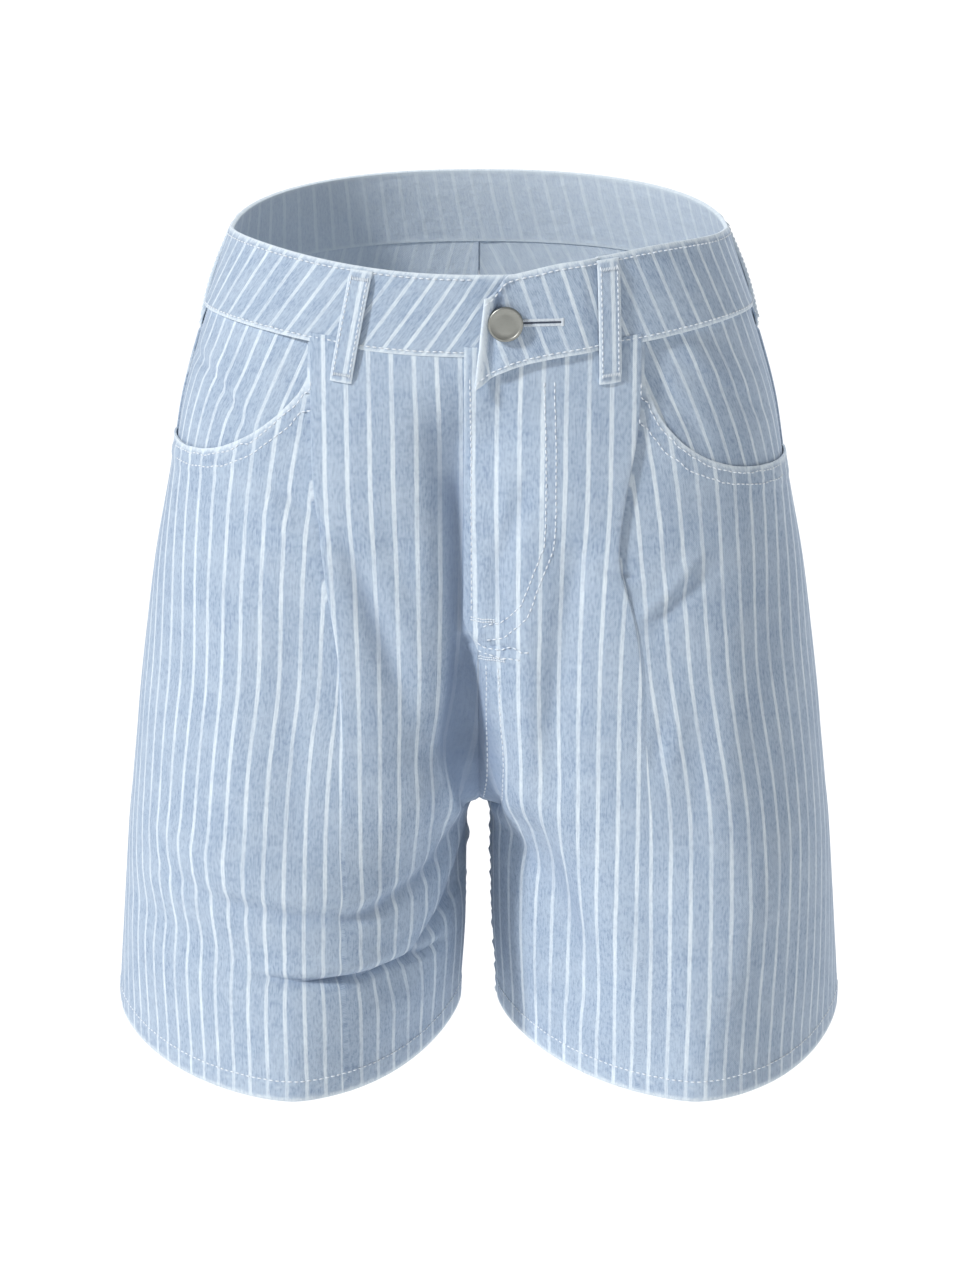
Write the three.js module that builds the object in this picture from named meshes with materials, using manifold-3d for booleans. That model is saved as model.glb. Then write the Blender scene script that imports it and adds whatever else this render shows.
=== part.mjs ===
// Pleated bermuda shorts in striped denim, worn form, empty inside. Millimetres, +Z up.
// The front faces -Y and the wearer's left is +X. The origin is the middle of the waist, level with
// the top of the waistband at the sides, where the wearer's waist holds the shorts up.
import * as THREE from "three";
import { mergeVertices } from "three/addons/utils/BufferGeometryUtils.js";
import Module from "manifold-3d";

const wasm = await Module();
wasm.setup();

// Cloth and seams
const WALL = 1.2;
const BAND_WALL = 2.2;
const GAP = 0.3;
const LAYER = WALL + GAP;
const SEAM = GAP / 2;
const TURN = LAYER / 2;

// Heights at the side, measured down from the waist
const BAND_HEIGHT = 40;
const WAIST_DROP = { front: -7.5, back: 15 };
const WAIST_BEND = { front: 4, back: 1 };
const WAIST_RISE = { front: 10, back: 0 };
const SIDE_HEM = -427;

// The body's outline at each height. half: centre plane to side seam. inFront, inBack: how far the
// middle of each leg's section has moved out, as a share of half. front, back: depth of the section
// either side of its middle, which lies at shift. power: roundness of the section, 2 being an ellipse.
const SECTIONS = [
  { z: 35, half: 116, inFront: 0, inBack: 0, front: 93, back: 90, shift: -3, power: 2.2 },
  { z: 0, half: 126, inFront: 0, inBack: 0, front: 95, back: 95, shift: -4, power: 2.2 },
  { z: -40, half: 140, inFront: 0, inBack: 0, front: 96, back: 103, shift: -4, power: 2.25 },
  { z: -85, half: 153.5, inFront: 0.02, inBack: 0.03, front: 99, back: 112, shift: -3, power: 2.3 },
  { z: -125, half: 160.5, inFront: 0.06, inBack: 0.08, front: 103, back: 120, shift: -2, power: 2.35 },
  { z: -170, half: 169.5, inFront: 0.14, inBack: 0.17, front: 106, back: 126, shift: -2, power: 2.35 },
  { z: -215, half: 176, inFront: 0.25, inBack: 0.31, front: 107, back: 129, shift: -4, power: 2.3 },
  { z: -242, half: 179.5, inFront: 0.33, inBack: 0.41, front: 107, back: 130, shift: -6, power: 2.2 },
  { z: -266, half: 182, inFront: 0.41, inBack: 0.468, front: 108, back: 130, shift: -7.5, power: 2.15 },
  { z: -286, half: 184.2, inFront: 0.465, inBack: 0.49, front: 108.5, back: 130, shift: -9, power: 2.1 },
  { z: -296, half: 185.3, inFront: 0.49, inBack: 0.497, front: 109, back: 130, shift: -9.5, power: 2.08 },
  { z: -301, half: 186, inFront: 0.5, inBack: 0.5, front: 109.2, back: 129.5, shift: -9.8, power: 2.06 },
  { z: -313, half: 187.5, inFront: 0.516, inBack: 0.516, front: 110.2, back: 128.5, shift: -9.4, power: 2.02 },
  { z: -330, half: 189.2, inFront: 0.518, inBack: 0.518, front: 112, back: 127, shift: -8.5, power: 1.96 },
  { z: -380, half: 194, inFront: 0.52, inBack: 0.52, front: 119, back: 121.5, shift: -4, power: 1.78 },
  { z: -420, half: 197.5, inFront: 0.526, inBack: 0.526, front: 125, back: 118, shift: -1, power: 1.64 },
  { z: -450, half: 197.5, inFront: 0.529, inBack: 0.529, front: 125, back: 118, shift: -1, power: 1.64 },
];

// The fronts of both legs are drawn a little towards the wearer's left near the hems
const SKEW = { most: 8, from: -250, over: 150 };

// How far the side seams lie forward of the widest point, full from the lower height down
const SEAM_FORWARD = { left: 5, right: 15, from: -70, full: -230 };

// Rows of each panel, as heights at its inner edge. They crowd where the crotch seam turns under.
const FRONT_ROWS = [
  -52, -66, -82, -100, -120, -142, -164, -184, -199, -214, -232, -250, -268, -282, -292, -298, -301,
  -308, -322, -342, -364, -386, -408, -427,
];
const BACK_ROWS = [
  -62, -80, -100, -122, -146, -170, -194, -218, -238, -256, -271, -284, -293, -299, -301, -308,
  -322, -342, -364, -386, -408, -427,
];

// Columns: the cloth within INNER_BAND of the centre plane has its own, the rest share what is left
const INNER_BAND = 30;
const TURN_STEPS = 4;
const OUTER_SHARES = [0.14, 0.28, 0.44, 0.58, 0.72, 0.86, 1];
const BACK_SHARES = [0, 0.04, 0.09, 0.14, 0.2, 0.28, 0.36, 0.44, 0.52, 0.6, 0.68, 0.76, 0.84, 0.92, 1];

// The front pleat: where its fold lies, as a distance from the centre plane, how far the cloth runs
// back under it, how far the fold has turned (180 lies flat), and how deep the step is.
const PLEATS = {
  right: [
    { z: -45, at: 82, under: 20, turn: 180, step: 3.0 },
    { z: -100, at: 82, under: 15, turn: 180, step: 3.0 },
    { z: -150, at: 77, under: 9, turn: 180, step: 3.0 },
    { z: -190, at: 71, under: 3, turn: 180, step: 3.0 },
    { z: -203, at: 69.5, under: 0, turn: 110, step: 2.6 },
    { z: -220, at: 68.5, under: 0, turn: 45, step: 1.5 },
    { z: -245, at: 68, under: 0, turn: 18, step: 0.8 },
    { z: -275, at: 68, under: 0, turn: 9, step: 0.45 },
    { z: -310, at: 68, under: 0, turn: 4, step: 0.2 },
    { z: -345, at: 68, under: 0, turn: 4, step: 0.2 },
    { z: -430, at: 68, under: 0, turn: 4, step: 0.2 },
  ],
  left: [
    { z: -45, at: 79, under: 20, turn: 180, step: 3.0 },
    { z: -82, at: 78, under: 16, turn: 180, step: 3.0 },
    { z: -125, at: 71, under: 10, turn: 180, step: 3.0 },
    { z: -148, at: 69, under: 4, turn: 180, step: 3.0 },
    { z: -163, at: 72, under: 0, turn: 100, step: 2.3 },
    { z: -180, at: 77, under: 0, turn: 40, step: 1.3 },
    { z: -205, at: 81, under: 0, turn: 15, step: 0.6 },
    { z: -235, at: 82, under: 0, turn: 8, step: 0.35 },
    { z: -275, at: 82, under: 0, turn: 4, step: 0.2 },
    { z: -320, at: 82, under: 0, turn: 4, step: 0.2 },
    { z: -430, at: 82, under: 0, turn: 4, step: 0.2 },
  ],
};

// The largest soft folds, on the front (y below 0) or the back: two ends, each x and z, the half
// width of the fold and its height, with hollows below 0.
const FOLDS = [
  { side: "front", x1: -6, z1: -96, x2: -7, z2: -245, wide: 24, high: -14 },
  { side: "front", x1: -47, z1: -150, x2: -30, z2: -250, wide: 16, high: -4 },
  { side: "front", x1: 46, z1: -150, x2: 36, z2: -260, wide: 14, high: -4 },
  { side: "front", x1: -168, z1: -350, x2: -42, z2: -374, wide: 14, high: -3 },
  { side: "front", x1: -42, z1: -374, x2: -12, z2: -346, wide: 12, high: -3 },
  { side: "front", x1: 22, z1: -300, x2: 52, z2: -385, wide: 14, high: -3.5 },
  { side: "front", x1: 118, z1: -200, x2: 130, z2: -330, wide: 22, high: 3 },
  { side: "front", x1: -118, z1: -180, x2: -128, z2: -300, wide: 22, high: 3 },
  { side: "back", x1: 25, z1: -200, x2: 60, z2: -285, wide: 16, high: -4 },
  { side: "back", x1: -25, z1: -190, x2: -62, z2: -275, wide: 16, high: -4 },
  { side: "back", x1: -60, z1: -318, x2: -160, z2: -300, wide: 14, high: -3 },
  { side: "back", x1: 70, z1: -330, x2: 160, z2: -345, wide: 16, high: -2 },
];

// Curved pocket mouths of the fronts, from the waistband out to the side seam
const MOUTHS = {
  right: [
    [-81, -30],
    [-82.5, -52],
    [-85, -61.5],
    [-89, -68.8],
    [-95, -75.5],
    [-104, -84.5],
    [-116.5, -93.5],
    [-128.5, -100],
    [-139, -103.5],
    [-150, -105],
    [-162, -105.5],
    [-190, -106],
  ],
  left: [
    [79, -30],
    [79.5, -48],
    [81, -59],
    [84.5, -70],
    [90.5, -83],
    [100.5, -94.5],
    [112, -103],
    [127.5, -109.5],
    [142, -112.5],
    [153.5, -114],
    [164, -115],
    [190, -116],
  ],
};
const MOUTH_UNDERLAP = 8;
const FACING_FOOT = -150;

// Back yoke seam and back patch pockets, as x and z seen from behind. Corners run from the top inner
// corner round the point.
const YOKE_SEAM = { centre: -60, side: -52, sag: 3 };
const PATCHES = {
  left: { inTop: [53, -93], outTop: [142, -86], outLow: [158, -203], tip: [124, -232], inLow: [69, -209] },
  right: { inTop: [51, -97], outTop: [135, -82], outLow: [152, -196], tip: [121, -226], inLow: [69, -206] },
};

const PATCH_FOOT = -260;

// Belt loops: x where each one crosses the waistband, or how far behind the side seam it lies
const LOOP_WIDTH = 10.5;
const LOOP_BELOW = 16;
const LOOP_OFF = { lift: 2.6, side: 2.15, bow: 0.9, sideBow: 2.2 };
const LOOPS = {
  loop_front_right: { side: "front", x: -56, lean: -11 },
  loop_front_left: { side: "front", x: 61.5, lean: 2 },
  loop_side_right: { side: "back", x: -1, lean: 0, behind: 24 },
  loop_side_left: { side: "back", x: 1, lean: 0, behind: 22 },
  loop_back: { side: "back", x: 0, lean: 0 },
};

// Fly, waistband end and button
const FLY_LAP = 7;
const FLY_FOOT = -184;
const FLY_RUN_OUT = 15;
const BAND_LAP = 32;
const END_DROOP = { most: 15.5, at: -2, over: 17 };
const LEFT_RISE = { most: 4.5, from: 4, over: 40, until: 80, fall: 70 };
const OVER_END = [
  { s: 60, lift: 0 },
  { s: 55, lift: 1.2 },
  { s: 51, lift: 2.4 },
  { s: 42, lift: 2.5 },
  { s: 28, lift: 2.6 },
  { s: 16, lift: 2.9 },
  { s: 9, lift: 3.8 },
  { s: 3, lift: 3.8 },
  { s: -2, lift: 3.8 },
];
const BUTTON = { x: 12.8, z: -30.3, radius: 8.6, thick: 2.6, shank: 2.2, rim: 1.3, lift: 4.3 };
const HOLE = { radius: 3.2, slit: 0.9, length: 27 };

const CLOTH = { color: 0xb4c4e0, roughness: 0.9, metalness: 0 };
const STEEL = { color: 0xb9bcbd, roughness: 0.32, metalness: 0.9 };

// Smooth value of one column of a table at height z, through every row
function lookup(table, key, z) {
  const down = table[0].z > table[table.length - 1].z;
  const rows = down ? table : [...table].reverse();
  if (z >= rows[0].z) return rows[0][key];
  if (z <= rows[rows.length - 1].z) return rows[rows.length - 1][key];
  let i = 0;
  while (z < rows[i + 1].z) i += 1;
  const slope = (j) => {
    const a = rows[Math.max(j - 1, 0)];
    const b = rows[Math.min(j + 1, rows.length - 1)];
    return (b[key] - a[key]) / (b.z - a.z);
  };
  const step = rows[i + 1].z - rows[i].z;
  const t = (z - rows[i].z) / step;
  const [p, q] = [rows[i][key], rows[i + 1][key]];
  const [m, n] = [slope(i) * step, slope(i + 1) * step];
  const low = Math.min(p, q);
  const high = Math.max(p, q);
  const value =
    p * (1 + 2 * t) * (1 - t) ** 2 + m * t * (1 - t) ** 2 + q * t * t * (3 - 2 * t) - n * t * t * (1 - t);
  return Math.min(Math.max(value, low), high);
}

const ease = (t) => {
  const c = Math.min(Math.max(t, 0), 1);
  return c * c * (3 - 2 * c);
};

// Top edge of the waistband, which dips towards the front and rises towards the back. deep is the
// share of the section's depth at that point, 0 at the side seams and 1 at the centre.
const waistEdge = (part, deep) =>
  WAIST_DROP[part] * deep ** WAIST_BEND[part] + WAIST_RISE[part] * deep * (1 - deep);

const SIDE_STEPS = 72;
const curves = new Map();

// Half of the section at height z, from the inner edge out to the side seam, for the front or the
// back of one side, drawn with its outside towards +X, as points with their distance along the cloth.
function sectionCurve(part, sign, z) {
  const key = `${part} ${sign} ${z.toFixed(3)}`;
  if (curves.has(key)) return curves.get(key);
  const half = lookup(SECTIONS, "half", z);
  const inner = lookup(SECTIONS, part === "front" ? "inFront" : "inBack", z);
  const power = lookup(SECTIONS, "power", z);
  const shift = lookup(SECTIONS, "shift", z);
  const deep = part === "front" ? -lookup(SECTIONS, "front", z) : lookup(SECTIONS, "back", z);
  const cx = half * inner;
  const a = half - cx;
  const reach = Math.min(Math.max((cx - SEAM) / a, 0), 1);
  const from = -Math.asin(reach ** (power / 2));
  const skew = part === "front" ? SKEW.most * ease((SKEW.from - z) / SKEW.over) : 0;
  const points = [];
  for (let i = 0; i <= SIDE_STEPS; i += 1) {
    const angle = from + ((Math.PI / 2 - from) * i) / SIDE_STEPS;
    const s = Math.sin(angle);
    const depth = Math.abs(Math.cos(angle)) ** (2 / power);
    const x = cx + a * Math.sign(s) * Math.abs(s) ** (2 / power);
    points.push({ x: x + sign * skew * depth * depth, y: shift + deep * depth, deep: depth });
  }
  let run = 0;
  points.forEach((p, i) => {
    if (i) run += Math.hypot(p.x - points[i - 1].x, p.y - points[i - 1].y);
    p.s = run;
  });
  curves.set(key, points);
  return points;
}

// Where the two sides meet at the centre plane, a fold runs on from one to the other and the cloth
// there faces straight out. Going down, it starts to face inward, the folds fade towards the inner
// edge, and the legs come apart.
const CENTRE_BAND = 14;
const FACE_INWARD = { from: -215, over: 40 };
const FOLDS_FADE = { from: -270, over: 28 };
const LEGS_APART = { from: -296, over: 6 };

// Height of the folds at a point of the front or back
function foldHeight(part, x, z) {
  let sum = 0;
  for (const f of FOLDS) {
    if (f.side !== part) continue;
    const [dx, dz] = [f.x2 - f.x1, f.z2 - f.z1];
    const along = ((x - f.x1) * dx + (z - f.z1) * dz) / (dx * dx + dz * dz);
    const t = Math.min(Math.max(along, 0), 1);
    const away = Math.hypot(x - f.x1 - dx * t, z - f.z1 - dz * t);
    sum += f.high * Math.exp(-((away / f.wide) ** 2));
  }
  return sum;
}

// The wall never reaches the centre plane: a point that would is moved out, with its normal
const clearOfCentre = (p, reach) => {
  const over = SEAM + reach * Math.abs(p.nx) - p.x;
  return over > 0 ? { ...p, x: p.x + over } : p;
};

// A point of the cloth's middle, s along the section from its inner edge and h out of its face.
// sign is 1 for the wearer's left and -1 for the right. A negative s runs past the centre.
function clothPoint(part, sign, s, z, h = 0, wall = WALL, lap = false) {
  const points = sectionCurve(part, sign, z);
  const length = points[points.length - 1].s;
  if (part === "back" && s > length) {
    const ahead = sideLength("front", sign, z) - (s - length);
    return clothPoint("front", sign, ahead, z, h, wall, lap);
  }
  const past = s < 0;
  const at = Math.min(Math.abs(s), length);
  let i = 1;
  while (i < points.length - 1 && points[i].s < at) i += 1;
  const [a, b] = [points[i - 1], points[i]];
  const t = (at - a.s) / (b.s - a.s);
  const before = points[Math.max(i - 2, 0)];
  const after = points[Math.min(i + 1, points.length - 1)];
  const mix = (u, v, w) => u + (v - u) * w;
  const tx = mix(b.x - before.x, after.x - a.x, t);
  const ty = mix(b.y - before.y, after.y - a.y, t);
  const size = Math.hypot(tx, ty);
  const out = part === "front" ? 1 : -1;
  const p = { x: mix(a.x, b.x, t), y: mix(a.y, b.y, t), z, nx: (out * ty) / size, ny: (-out * tx) / size };
  const side = past ? -sign : sign;
  const below = (band) => ease((band.from - z) / band.over);
  const middle = 1 - ease(at / CENTRE_BAND);
  const inner = 1 - below(FOLDS_FADE) * (1 - Math.min(1, at / 12));
  const edge = Math.min(1, (length - at) / 12, inner);
  const high = h + (lap === "band" ? 0 : foldHeight(part, p.x * side, z) * edge);
  p.x += p.nx * high * (1 - (1 - below(LEGS_APART)) * middle);
  p.nx *= 1 - (1 - below(FACE_INWARD)) * middle;
  p.y += p.ny * high;
  const q = lap ? p : clearOfCentre(p, wall / 2);
  return { x: q.x * side, y: q.y, z, nx: q.nx * side, ny: q.ny, deep: mix(a.deep, b.deep, t) };
}

// Distance along the section of the point that lies x from the centre plane
function alongTo(part, sign, x, z) {
  const points = sectionCurve(part, sign, z);
  let i = 1;
  while (i < points.length - 1 && points[i].x < x) i += 1;
  const [a, b] = [points[i - 1], points[i]];
  const t = Math.min(Math.max((x - a.x) / (b.x - a.x || 1), 0), 1);
  return a.s + (b.s - a.s) * t;
}

const sideLength = (part, sign, z) => {
  const points = sectionCurve(part, sign, z);
  return points[points.length - 1].s;
};

// Distance along the section from the inner edge to the side seam
function seamLength(part, sign, z) {
  const most = sign > 0 ? SEAM_FORWARD.left : SEAM_FORWARD.right;
  const forward = most * ease((SEAM_FORWARD.from - z) / (SEAM_FORWARD.from - SEAM_FORWARD.full));
  return sideLength(part, sign, z) + (part === "front" ? -forward : forward);
}

// Closed solid from two grids of points, the cloth's outer and inner face
function wallSolid(outer, inner) {
  const rows = outer.length;
  const columns = outer[0].length;
  const positions = [...outer.flat(), ...inner.flat()].flatMap((p) => [p.x, p.y, p.z]);
  const at = (face, i, j) => face * rows * columns + i * columns + j;
  const index = [];
  const quad = (a, b, c, d) => index.push(a, b, c, a, c, d);
  for (let i = 0; i < rows - 1; i += 1)
    for (let j = 0; j < columns - 1; j += 1) {
      quad(at(0, i, j), at(0, i + 1, j), at(0, i + 1, j + 1), at(0, i, j + 1));
      quad(at(1, i, j), at(1, i, j + 1), at(1, i + 1, j + 1), at(1, i + 1, j));
    }
  for (let j = 0; j < columns - 1; j += 1) {
    quad(at(0, 0, j), at(0, 0, j + 1), at(1, 0, j + 1), at(1, 0, j));
    quad(at(0, rows - 1, j + 1), at(0, rows - 1, j), at(1, rows - 1, j), at(1, rows - 1, j + 1));
  }
  for (let i = 0; i < rows - 1; i += 1) {
    quad(at(0, i + 1, 0), at(0, i, 0), at(1, i, 0), at(1, i + 1, 0));
    quad(at(0, i, columns - 1), at(0, i + 1, columns - 1), at(1, i + 1, columns - 1), at(1, i, columns - 1));
  }
  const geometry = new THREE.BufferGeometry();
  geometry.setAttribute("position", new THREE.Float32BufferAttribute(positions, 3));
  geometry.setIndex(index);
  return facingOut(geometry);
}

function volumeOf(geometry) {
  const p = geometry.getAttribute("position");
  const [a, b, c] = [new THREE.Vector3(), new THREE.Vector3(), new THREE.Vector3()];
  let sum = 0;
  for (let i = 0; i < geometry.index.count; i += 3) {
    a.fromBufferAttribute(p, geometry.index.getX(i));
    b.fromBufferAttribute(p, geometry.index.getX(i + 1));
    c.fromBufferAttribute(p, geometry.index.getX(i + 2));
    sum += a.dot(b.cross(c)) / 6;
  }
  return sum;
}

function facingOut(geometry) {
  if (volumeOf(geometry) < 0) geometry.index.array.reverse();
  return geometry;
}

// Two faces of a wall either side of a grid of middle points with normals
function clothWall(grid, wall = WALL) {
  const face = (side) =>
    grid.map((row) =>
      row.map((p) => ({
        x: p.x + (p.nx * side * wall) / 2,
        y: p.y + (p.ny * side * wall) / 2,
        z: p.z + ((p.nz ?? 0) * side * wall) / 2,
      })),
    );
  return wallSolid(face(1), face(-1));
}

function toSolid(geometry) {
  const plain = geometry.clone();
  plain.deleteAttribute("normal");
  plain.deleteAttribute("uv");
  const merged = mergeVertices(plain, 1e-4);
  const solid = new wasm.Manifold(
    new wasm.Mesh({
      numProp: 3,
      vertProperties: new Float32Array(merged.attributes.position.array),
      triVerts: new Uint32Array(merged.index.array),
    }),
  );
  return solid;
}

function toGeometry(solid) {
  const mesh = solid.getMesh();
  const points = [];
  for (let i = 0; i < mesh.vertProperties.length; i += mesh.numProp)
    points.push(mesh.vertProperties[i], mesh.vertProperties[i + 1], mesh.vertProperties[i + 2]);
  const geometry = new THREE.BufferGeometry();
  geometry.setAttribute("position", new THREE.Float32BufferAttribute(points, 3));
  geometry.setIndex([...mesh.triVerts]);
  return geometry;
}

// A tall prism along Y over an outline in x and z, between two depths
function prism(outline, y1, y2) {
  const shape = new THREE.Shape(outline.map(([x, z]) => new THREE.Vector2(x, z)));
  const geometry = new THREE.ExtrudeGeometry(shape, { depth: y2 - y1, bevelEnabled: false });
  geometry.rotateX(Math.PI / 2);
  geometry.translate(0, y2, 0);
  return toSolid(geometry);
}

// Height of a point of a row: its level at the inner edge, blended between the top and hem edges
function rowHeight(level, top, foot, topHere, footHere) {
  const t = (level - top) / (foot - top);
  return level + (topHere - top) * (1 - t) + (footHere - foot) * t;
}

// Top edge of the panels below the waistband
const panelTop = (part, deep) => waistEdge(part, deep) - BAND_HEIGHT - GAP;

// Centre-to-side path of a front: positions s along the section with heights h and unit normals in
// the plane of s and h. It folds back under itself at the pleat.
function frontPath(sign, z) {
  const table = sign > 0 ? PLEATS.left : PLEATS.right;
  const [x, under, turn, step] = ["at", "under", "turn", "step"].map((key) => lookup(table, key, z));
  const fold = alongTo("front", sign, x, z);
  const length = seamLength("front", sign, z);
  const angle = THREE.MathUtils.degToRad(turn);
  const round = TURN * (1 - Math.cos(angle));
  const run = angle > 3.1 ? Math.max(under, 0.4) : Math.max((step - 2 * round) / Math.sin(angle), 0.3);
  const lift = Math.min(1, step / 3) * 1.2;
  const lapped = sign > 0 ? Math.min(Math.max((z - FLY_FOOT) / FLY_RUN_OUT + 1, 0), 1) : 0;
  const raised = sign > 0 ? Math.min(Math.max((z - FLY_FOOT) / FLY_RUN_OUT + 2, 0), 1) : 0;
  const path = [];
  const put = (s, h, tilt = 0) => path.push({ s, h, ns: Math.sin(tilt), nh: Math.cos(tilt) });
  const start = SEAM - (FLY_LAP + SEAM) * lapped;
  const rise = LAYER * 1.05 * raised;
  const near = alongTo("front", sign, INNER_BAND, z);
  for (const t of [0, 0.1, 0.22, 0.4, 0.6, 0.8, 1]) {
    const s = start + (near - start) * t;
    put(s, rise * (1 - ease((s - 1) / 9)));
  }
  const bend = fold - TURN;
  for (const t of [0.3, 0.6, 0.85]) put(near + (bend - near) * t, lift * ease((t - 0.2) / 0.8));
  for (let i = 0; i <= TURN_STEPS; i += 1) {
    const a = (angle * i) / TURN_STEPS;
    put(bend + TURN * Math.sin(a), lift - TURN * (1 - Math.cos(a)), a);
  }
  const s = bend + TURN * Math.sin(angle) + run * Math.cos(angle);
  const h = lift - round - run * Math.sin(angle);
  for (let i = 0; i <= TURN_STEPS; i += 1) {
    const a = angle * (1 - i / TURN_STEPS);
    put(s + TURN * (Math.sin(angle) - Math.sin(a)), h - TURN * (Math.cos(a) - Math.cos(angle)), a);
  }
  const last = path[path.length - 1];
  const flat = Math.max(fold + 3, last.s + 2);
  put(flat, last.h);
  for (const t of OUTER_SHARES) {
    const here = flat + (length - SEAM - flat) * t;
    put(here, last.h * (1 - ease((here - flat) / 26)));
  }
  return path;
}

// One point of a front, column j of its path, at the row that has this level at the inner edge
function frontPoint(sign, level, j, under = 0) {
  const top = FRONT_ROWS[0];
  const foot = FRONT_ROWS[FRONT_ROWS.length - 1];
  const rough = frontPath(sign, level)[j];
  const { y, deep } = clothPoint("front", sign, rough.s, level);
  const z = rowHeight(level, top, foot, panelTop("front", deep), SIDE_HEM - hemDip(y));
  const { s, h, ns, nh } = frontPath(sign, z)[j];
  const p = clothPoint("front", sign, s, z, h - under, WALL, s < 0);
  return { x: p.x, y: p.y, z, nx: p.nx * nh - p.ny * sign * ns, ny: p.ny * nh + p.nx * sign * ns };
}

const MOUTH_REACH = 240;

// Everything outside a pocket mouth, as a tall prism, with the mouth moved in by an underlap
function outsideMouth(sign, underlap = 0) {
  const side = sign > 0 ? "left" : "right";
  const low = MOUTHS[side].map(([x, z]) => [x - sign * underlap, z - underlap]);
  const far = MOUTH_REACH * sign;
  const outline = [...low, [far, low[low.length - 1][1]], [far, 10], [low[0][0], 10]];
  return prism(outline, -200, 60);
}

function frontPanel(sign) {
  const columns = frontPath(sign, FRONT_ROWS[0]).map((_, j) => j);
  const grid = FRONT_ROWS.map((level) => columns.map((j) => frontPoint(sign, level, j)));
  return toGeometry(toSolid(clothWall(grid)).subtract(outsideMouth(sign)));
}

// The hems sag a little where the cloth is lowest
const hemDip = (y) => (y < 0 ? 5 * ease(-y / 110) : -6 * ease(y / 110));

// Distance along the back at height z of one of its columns. Those near the centre share the cloth
// inside INNER_BAND, which lengthens as the crotch seam turns under.
function backAlong(sign, share, z) {
  const length = seamLength("back", sign, z) - SEAM;
  const near = alongTo("back", sign, INNER_BAND, z);
  const cut = 0.2;
  if (share < cut) return SEAM + ((near - SEAM) * share) / cut;
  return near + ((length - near) * (share - cut)) / (1 - cut);
}

// Height of the yoke seam at one of the columns of the back
function yokeSeam(sign, share) {
  const { y } = clothPoint("back", sign, backAlong(sign, share, YOKE_SEAM.side), YOKE_SEAM.side);
  const t = Math.min(Math.max(y / 100, 0), 1);
  const sag = YOKE_SEAM.sag * Math.sin(Math.PI * t);
  return YOKE_SEAM.side + (YOKE_SEAM.centre - YOKE_SEAM.side) * t + sag;
}

// One point of a back panel, at the row that has this level at the inner edge, moved out by a lift
function backPoint(sign, level, share, lift = 0) {
  const top = BACK_ROWS[0];
  const foot = BACK_ROWS[BACK_ROWS.length - 1];
  const { y } = clothPoint("back", sign, backAlong(sign, share, level), level);
  const hem = SIDE_HEM - hemDip(y);
  const z = rowHeight(level, top, foot, yokeSeam(sign, share) - GAP, hem);
  return clothPoint("back", sign, backAlong(sign, share, z), z, lift);
}

const backPanel = (sign) =>
  clothWall(BACK_ROWS.map((level) => BACK_SHARES.map((share) => backPoint(sign, level, share))));

function yoke(sign) {
  const grid = [0, 0.5, 1].map((drop) =>
    BACK_SHARES.map((share) => {
      const { deep } = clothPoint("back", sign, backAlong(sign, share, YOKE_SEAM.side), YOKE_SEAM.side);
      const z = panelTop("back", deep) * (1 - drop) + yokeSeam(sign, share) * drop;
      return clothPoint("back", sign, backAlong(sign, share, z), z);
    }),
  );
  return clothWall(grid);
}

// The cloth seen in the pocket mouth lies one layer under the front and runs on behind its edge
function pocketFacing(sign) {
  const levels = FRONT_ROWS.filter((z) => z > FACING_FOOT);
  const count = frontPath(sign, levels[0]).length;
  const columns = [...Array(OUTER_SHARES.length + 1).keys()].map((k) => count - OUTER_SHARES.length - 1 + k);
  const grid = levels.map((level) => columns.map((j) => frontPoint(sign, level, j, LAYER)));
  return toGeometry(toSolid(clothWall(grid)).intersect(outsideMouth(sign, MOUTH_UNDERLAP)));
}

// A patch pocket: the points of the back panel moved out by one layer, inside its outline
function patchPocket(sign) {
  const c = PATCHES[sign > 0 ? "left" : "right"];
  const corners = [c.inTop, c.outTop, c.outLow, c.tip, c.inLow].map(([x, z]) => [sign * x, z]);
  const levels = BACK_ROWS.filter((z) => z > PATCH_FOOT);
  const shares = BACK_SHARES.filter((share) => share > 0.1);
  const sheet = clothWall(levels.map((level) => shares.map((share) => backPoint(sign, level, share, LAYER))));
  return toGeometry(toSolid(sheet).intersect(prism(sign > 0 ? corners.reverse() : corners, 20, 200)));
}

// The top edge stands a little higher on the wearer's left, beside the lapped end
const leftRise = (s) =>
  LEFT_RISE.most * ease((s - LEFT_RISE.from) / LEFT_RISE.over) * (1 - ease((s - LEFT_RISE.until) / LEFT_RISE.fall));

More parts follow.
